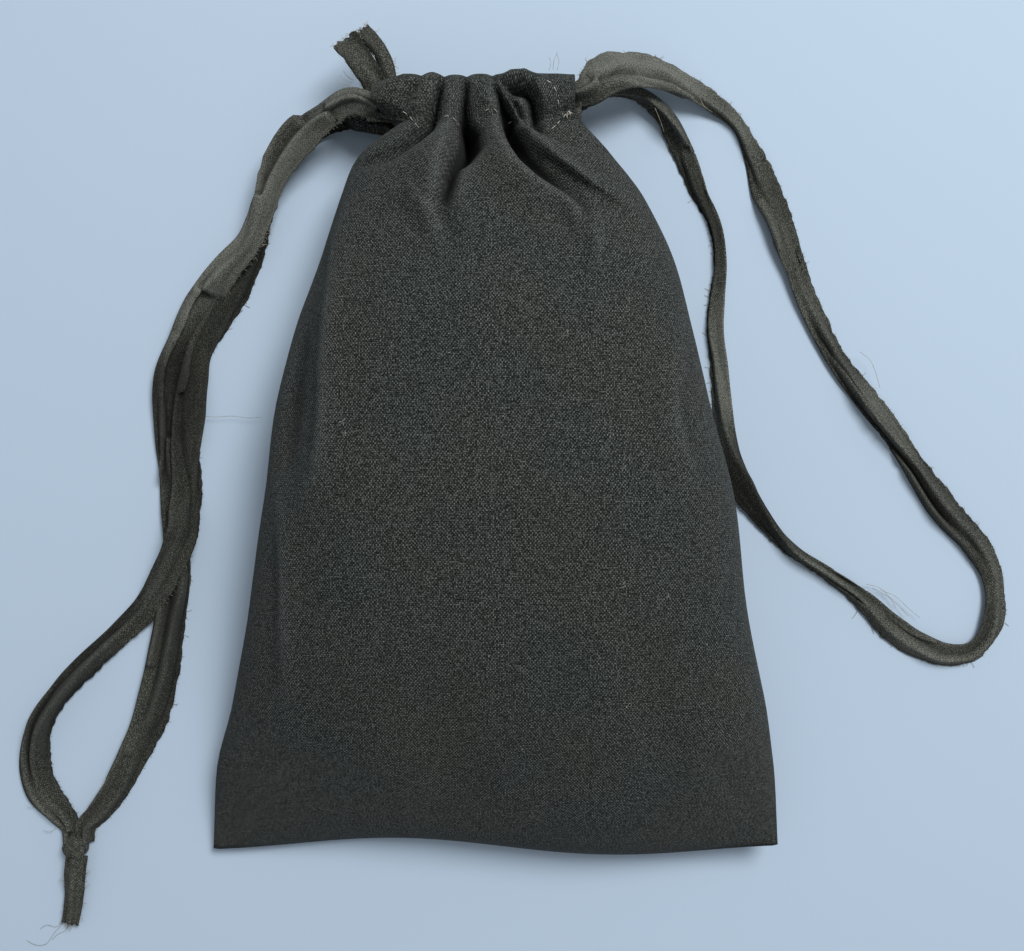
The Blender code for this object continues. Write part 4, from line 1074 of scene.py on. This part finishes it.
def casing_sheet(seam_row, seam_lift, across, side):
    """A casing's rows of points from its seam up the outside, over the top fold and down the
    inside to the seam again: front for side 1, back for side -1. The seam's row of points comes
    with how far its folds lift it."""
    seam_step = seam_row[:, 2] - side * seam_lift - NECK_MID - side * CASING_SECTION[0][1] * MM
    outline = [(0, share * CASING_HEIGHT, out * MM) for share, out in CASING_SECTION]
    section = smooth_route(outline, 0.1 * MM)
    lengths = distances(section)
    rows = []
    for k in range(1, CASING_ROWS + 1):
        share = k / CASING_ROWS
        i = min(range(len(lengths)), key=lambda n: abs(lengths[n] - share * lengths[-1]))
        along = section[min(len(section) - 1, i + 1)] - section[max(0, i - 1)]
        along.normalize()
        join = max(0.0, 1 - share / 0.16, (share - 0.9) / 0.1)
        join = join * join * (3 - 2 * join)
        normal_y, normal_z = -along.z * (1 - join), along.y * (1 - join) + join
        settle = min(1.0, share / 0.12)
        x = seam_row[:, 0] * (1 - settle) + (CASING_SHIFT + across * CASING_WIDTH / 2) * settle
        y = seam_row[:, 1] + section[i].y
        z = NECK_MID + side * section[i].z
        if side > 0:
            lift = np.maximum(fold_lift(x, y), -STRIP_ROOM)
            lift = lift + 0.3 * MM * soft_grid(x, y + z, 190, 4.5)
        else:
            lift = -back_gathers(across)
            pulled = np.clip((-across - 0.5) / 0.5, 0, 1) ** 1.5 * settle
            x = x - FLAP_REACH * pulled
            y = y + FLAP_RISE * pulled
        y = y + (LEFT_END_Y - y) * END_SQUEEZE * np.clip((-across - 0.7) / 0.3, 0, 1) * settle
        if share > 0.5:
            normal_y, normal_z = 0.0, 1.0
            lift = lift * (1 - 0.75 * min(1, (share - 0.5) / 0.1) + 0.75 * max(0, share - 0.8) / 0.2)
        y = y + normal_y * lift
        z = z + side * normal_z * lift + seam_step * join
        rows.append(np.stack([x, y, z], axis=1))
    return np.array(rows)


def arc_grid(points):
    """Distances on the cloth along the rows, from their middle, and down its middle column."""
    steps = np.linalg.norm(np.diff(points, axis=1), axis=2)
    across = np.concatenate([np.zeros((len(points), 1)), np.cumsum(steps, axis=1)], axis=1)
    middle = across.shape[1] // 2
    across -= across[:, middle][:, None]
    steps = np.linalg.norm(np.diff(points[:, middle], axis=0), axis=1)
    along = np.concatenate([[0.0], np.cumsum(steps)])
    return np.stack([across, np.repeat(-along[:, None], points.shape[1], axis=1)], axis=2)


def casing_grain(grain):
    """Distances on a casing's cloth, from the body's first row on."""
    turns = np.arange(CASING_ROWS + 1) * CASING_CLOTH / CASING_ROWS
    across = np.repeat(grain[:1, :, 0] * GATHER, CASING_ROWS + 1, axis=0)
    return np.stack([across, np.repeat(turns[:, None], across.shape[1], axis=1)], axis=2)


def cloth_highlight_and_shade(grid):
    """How much painted highlight a grid of the cloth's points gets along its fold ridges,
    partly for worn dye, and how much painted shade it gets deep in its creases and hollows.
    """
    lift = fold_lift(grid[..., 0], grid[..., 1]) * (grid[..., 2].mean() > NECK_MID)
    # painted highlight where the cloth stands above its neighbours along a row, partly worn dye
    out = (lift - blurred(lift, 0, 4)) / (0.55 * MM) - 0.12
    # painted shade deep in the hollows and along the valleys of the creases
    sunk = np.clip(-lift - 2.6 * MM, 0, 2.8 * MM) / (2.8 * MM)
    crease_shade = np.clip(np.clip(-out * 0.3, 0, 0.3) + sunk * 0.9, 0, 0.97)
    return np.clip(out, 0, 1).ravel(), crease_shade.ravel()


def pouch_cloth():
    """The whole sheet as one mesh: body front and back, joined at the side seams and the
    bottom fold, and a casing at the top of each."""
    across = np.sin(math.pi * (np.linspace(0, 1, COLUMNS + 1) - 0.5))
    front, back, (front_grain, back_grain), seam_lifts = body_sheets(across)
    front_casing = casing_sheet(front[0], seam_lifts[0], across, 1)
    back_casing = casing_sheet(back[0], seam_lifts[1], across, -1)
    grids = (front, back, front_casing, back_casing)
    points = np.concatenate([grid.reshape(-1, 3) for grid in grids])
    # painted highlight along the fold ridges, partly worn dye, and painted shade in the creases
    pale_and_highlight, crease_shade = (np.concatenate(part) for part in zip(*map(cloth_highlight_and_shade, grids)))
    starts = accumulate((grid.shape[0] * grid.shape[1] for grid in grids), initial=0)
    front_index, back_index, front_top, back_top = (
        first + np.arange(grid.shape[0] * grid.shape[1]).reshape(grid.shape[:2])
        for first, grid in zip(starts, grids)
    )
    back_index[:, 0], back_index[:, -1] = front_index[:, 0], front_index[:, -1]
    back_index[-1] = front_index[-1]

    faces, grain = [], []
    for index, places, shift, face_up in (
        (front_index, front_grain, 0.0, True),
        (back_index, back_grain, 0.5, False),
        (np.concatenate([front_index[:1], front_top]), casing_grain(front_grain), 0.0, False),
        (np.concatenate([back_index[:1], back_top]), casing_grain(back_grain), 0.5, True),
    ):
        for r in range(index.shape[0] - 1):
            for j in range(COLUMNS):
                corners = [(r, j), (r + 1, j), (r + 1, j + 1), (r, j + 1)]
                by_point = {int(index[c]): c for c in (corners if face_up else corners[::-1])}
                if len(by_point) > 2:
                    faces.append(list(by_point))
                    grain += [(places[c][0] + shift, places[c][1]) for c in by_point.values()]

    used = sorted({v for face in faces for v in face})
    number = {old: new for new, old in enumerate(used)}
    faces = [[number[v] for v in face] for face in faces]
    cloth = make_piece(
        "pouch_cloth_sheet", points[used].tolist(), faces, CHARCOAL,
        "pouch_cloth", grain, (pale_and_highlight[used], crease_shade[used]), CLOTH, -1,
    )
    return cloth, np.concatenate([front_casing[TOP_ROW::-1], front]), back


# Sewing

STITCH_PITCH = 2.5 * MM
STITCH_LENGTH = 1.7 * MM
SEWING_THREAD = 0.10 * MM
# Where the front's stitches show on the crowns of the pleats: pixels across and down the photo
SEEN_STITCHES = (
    ((402, 111), (408, 115), (414, 122), (420, 129)),
    ((443, 117), (448, 116), (454, 119), (459, 125)),
    ((484, 112), (489, 109), (494, 109), (497, 112)),
    ((508, 124), (513, 121)),
    ((546, 80), (552, 84), (557, 93)),
    ((558, 99), (559, 108)),
    ((567, 113), (560, 121), (554, 127), (549, 131)),
)
TACK_AT = (567, 115)
LINT_AT = (
    (343, 421), (345, 433), (363, 499), (611, 436), (624, 585), (667, 596), (628, 706), (523, 748),
    (416, 295), (449, 352), (566, 330), (489, 655), (388, 598), (707, 645),
)


def running_stitches(name, seam, lift, seed):
    """Stitches along a seam's row of points, each one up out of the cloth and back into it."""
    lengths = distances([Vector(point) for point in seam])
    draw = random.Random(seed)
    paths = []
    s = 2 * MM
    while s < lengths[-1] - 2 * MM:
        length = STITCH_LENGTH * draw.uniform(0.85, 1.15)
        path = []
        for k in range(7):
            share = k / 6
            rise = 0.22 * MM * math.sin(math.pi * share) ** 0.5 - 0.04 * MM
            place = [np.interp(s + length * share, lengths, seam[:, axis]) for axis in range(3)]
            path.append(Vector(place) + lift * rise)
        paths.append(path)
        s += STITCH_PITCH * draw.uniform(0.93, 1.07)
    return threads(name, paths, SEWING_THREAD, CREAM_THREAD)


def on_cloth(points, across, down):
    """The point of the cloth that the photo shows at a pixel."""
    flat = points.reshape(-1, 3)
    height = 0.03
    for _ in range(8):
        x, y = seen(across, down, height)
        off = np.hypot(flat[:, 0] - x, flat[:, 1] - y)
        near = flat[off < max(0.6 * MM, off.min() * 1.5)]
        height = 0.5 * height + 0.5 * near[:, 2].max()
    return Vector((*seen(across, down, height), height))


def seen_stitches(name, points, seed):
    """The stitches along the lines where they come up on the pleats."""
    draw = random.Random(seed)
    paths = []
    for line in SEEN_STITCHES:
        places = smooth_route([on_cloth(points, *pixel) for pixel in line], 0.3 * MM)
        done, path = 0.0, []
        for one, other in zip(places, places[1:]):
            done += (other - one).length
            if done % STITCH_PITCH < STITCH_LENGTH * draw.uniform(0.95, 1.05):
                path.append(other + Vector((0, 0, 0.12 * MM)))
            elif len(path) > 1:
                paths.append(path)
                path = []
        if len(path) > 1:
            paths.append(path)
    return threads(name, paths, SEWING_THREAD, CREAM_THREAD)


def lint(name, points, seed):
    """Short pale fibres that cling to the front."""
    draw = random.Random(seed)
    paths = []
    for pixel in LINT_AT:
        place = on_cloth(points, *pixel)
        for _ in range(draw.randint(1, 4)):
            start = place + Vector((draw.uniform(-0.4, 0.4), draw.uniform(-0.4, 0.4), 0.12)) * MM
            turn = draw.uniform(0, 2 * math.pi)
            way = Vector((math.cos(turn), math.sin(turn), draw.uniform(0, 0.2)))
            bend = Vector((-way.y, way.x, 0)) * draw.uniform(-0.5, 0.5)
            size = draw.uniform(0.3, 1.0) * MM
            paths.append([start, start + way * size * 0.5 + bend * size * 0.3, start + way * size])
    return threads(name, paths, 0.05 * MM, LINT)


def bar_tack(name, place, seed):
    """A few short stitches sewn over each other, with their knot, where a seam ends."""
    draw = random.Random(seed)
    paths = []
    for _ in range(11):
        start = place + Vector((draw.uniform(-1.2, 1), draw.uniform(-1.4, 1.4), 0.1)) * MM
        end = start + Vector((draw.uniform(-0.6, 1.4), draw.uniform(-1.4, 1.4), 0.0)) * MM
        middle = start.lerp(end, 0.5) + Vector((0, 0, 0.3)) * MM
        paths.append([start, start.lerp(middle, 0.6), middle, middle.lerp(end, 0.5), end])
    return threads(name, paths, SEWING_THREAD, CREAM_THREAD)


cloth, front_points, back_points = pouch_cloth()
front_stitches = seen_stitches("front_casing_stitches", front_points, 41)
back_stitches = running_stitches("back_casing_stitches", back_points[0], Vector((0, 0, -1)), 42)
tack = bar_tack("side_seam_tack", on_cloth(front_points, *TACK_AT), 43)
specks = lint("lint_specks", front_points, 44)


# Knots, tails and long loose threads

# Threads on the table at the left knot's tail, and threads that stick out of the strips: the
# height over the table in mm, then pixels across and down the photo
TAIL_THREADS = (
    (0.4, ((66, 918), (62, 925), (55, 932), (46, 944), (36, 945), (26, 940))),
    (0.4, ((64, 922), (56, 927), (47, 925), (40, 929))),
    (0.4, ((70, 920), (66, 930), (58, 934), (52, 940))),
)
LEFT_THREADS = (
    (2.0, ((198, 415), (214, 417), (232, 416), (248, 418), (262, 417))),
    (14.0, ((353, 80), (347, 76), (343, 70))),
    (14.0, ((352, 83), (345, 80), (339, 75))),
    (14.0, ((350, 86), (343, 84), (336, 80))),
    (1.0, ((58, 826), (50, 832), (43, 830))),
    (1.0, ((40, 800), (32, 808), (27, 806))),
)
RIGHT_THREADS = (
    (1.5, ((872, 588), (884, 594), (897, 604), (908, 616))),
    (1.5, ((880, 590), (895, 596), (908, 608), (920, 618))),
    (1.5, ((866, 584), (880, 588), (890, 598), (896, 608))),
    (8.0, ((699, 96), (704, 106), (712, 112))),
    (8.0, ((655, 108), (660, 120), (664, 132))),
    (3.0, ((860, 352), (870, 360), (876, 374), (880, 388))),
    (16.0, ((553, 70), (554, 60), (558, 51))),
    (16.0, ((557, 70), (559, 61), (556, 53))),
    (16.0, ((549, 70), (551, 63), (549, 57))),
)
# The left tail's route starts at its knot; the two tails at the neck have their own places
LEFT_TAIL = (
    (0.0004, 0.0010, 0.0034), (-0.0002, -0.0040, 0.0030), (-0.0006, -0.0090, 0.0022),
    (-0.0012, -0.0135, 0.0018), (-0.0022, -0.0182, 0.0016),
)
UPPER_TAIL = (
    (-0.0302, 0.0975, 0.0145), (-0.0304, 0.1015, 0.0160), (-0.0326, 0.1050, 0.0168),
    (-0.0350, 0.1085, 0.0170), (-0.0378, 0.1122, 0.0168),
)
LOWER_TAIL = (
    (-0.0264, 0.0990, 0.0125), (-0.0266, 0.1035, 0.0134), (-0.0280, 0.1083, 0.0140),
    (-0.0306, 0.1122, 0.0142), (-0.0338, 0.1156, 0.0140),
)


def seen_threads(name, lines):
    """The loose threads that the photo shows along the given lines."""
    paths = []
    for height, pixels in lines:
        places = [(*seen(across, down, height * MM), height * MM) for across, down in pixels]
        paths.append(smooth_route(places, 0.8 * MM))
    return threads(name, paths, FRAY_RADIUS, RAW_THREAD)


def left_knot():
    """The knot at the far end of the left drawstring, its long tail and the tail's threads."""
    x, y, _ = LEFT_KNOT
    centre = (x - 0.3 * MM, y + 2.4 * MM, 2.5 * MM)
    knot = wound_knot("left_knot_winding", centre, (0.0064, 0.0068, 0.0046), 1.0, "left_knot")
    route = [(x + dx, y + dy, z) for dx, dy, z in LEFT_TAIL]
    # the tail gets painted shade along both its edges
    tail, edges = tail_strip(
        "left_knot_tail", route, (0.0058, 0.0046), 1.2 * MM, 21, "left_knot", (-0.3, -0.3)
    )
    stretches = ((0.004, 0.03, 30, 0.0026), (0.9, 1.1, 30, 0.003))
    loose = frays("left_knot_tail_frays", edges, stretches, 22)
    return knot, tail, loose, seen_threads("left_knot_tail_threads", TAIL_THREADS)


def right_knot():
    """The knot at the casings' left end, with its two tails standing up as a frayed stub."""
    wound_knot("right_knot_winding", STUB_KNOT, (0.0062, 0.0062, 0.0056), 2.0, "right_knot")
    # each tail's last values are the painted shade along its left and right edge; it draws the dark
    # line between the two tails
    for place, route, widths, bend, seed, tones in (
        ("upper", UPPER_TAIL, (0.0056, 0.0070), 1.2 * MM, 31, (-0.1, -0.9)),
        ("lower", LOWER_TAIL, (0.0034, 0.0042), 1.0 * MM, 32, (-1.0, -0.2)),
    ):
        name = f"right_knot_{place}_tail"
        _, edges = tail_strip(name, route, widths, bend, seed, "right_knot", tones)
        stretches = ((0.004, 0.02, 24, 0.0022), (0.9, 1.1, 50, 0.0022))
        frays(name + "_frays", edges, stretches, seed + 2)


left_threads = seen_threads("left_strand_threads", LEFT_THREADS)
right_threads = seen_threads("right_loop_threads", RIGHT_THREADS)
left_knot_pieces = left_knot()
right_knot()
for piece, leaves, path, diameter, far_end, others in (
    (front_strand, LEFT_FRONT_EXIT, front_path, 0.009, "knot",
     [front_frays, left_threads, *left_knot_pieces]),
    (back_strand, LEFT_BACK_EXIT, back_path, 0.009, "knot", [back_frays, left_knot_pieces[0]]),
    (right_loop, RIGHT_EXIT, right_path, 0.0125, "object", [right_frays, right_threads]),
):
    distances(path)[-1]


# Table and light


def table():
    """A plain pale table under the pouch, painted and matt."""
    material, _, surface = new_material("pale_painted_table", 0.75)
    surface["Base Color"].default_value = colour("#BFD2E5")
    mesh = bpy.data.meshes.new("table")
    reach = 3.0
    corners = [(-reach, -reach, 0), (reach, -reach, 0), (reach, reach, 0), (-reach, reach, 0)]
    mesh.from_pydata(corners, [], [(0, 1, 2, 3)])
    new_object("table", mesh, material)


def soft_lamp(name, place, target, size, watts):
    """A square soft lamp that faces a point."""
    lamp = bpy.data.lights.new(name, "AREA")
    lamp.size = size
    lamp.energy = watts
    hung = new_object(name, lamp)
    hung.location = place
    hung.rotation_euler = (Vector(target) - Vector(place)).to_track_quat("-Z", "Y").to_euler()


def light_the_table():
    """A soft window light from the upper right, and the room's even light."""
    soft_lamp("window_light", (0.42, 0.55, 1.00), (0, 0, 0.02), 0.5, 11.3)
    world = bpy.data.worlds.new("room")
    bpy.context.scene.world = world
    world.use_nodes = True
    background = world.node_tree.nodes["Background"]
    background.inputs["Color"].default_value = colour("#F4F7FA")
    background.inputs["Strength"].default_value = 0.33
    bpy.context.scene.view_settings.view_transform = "Standard"


table()
light_the_table()
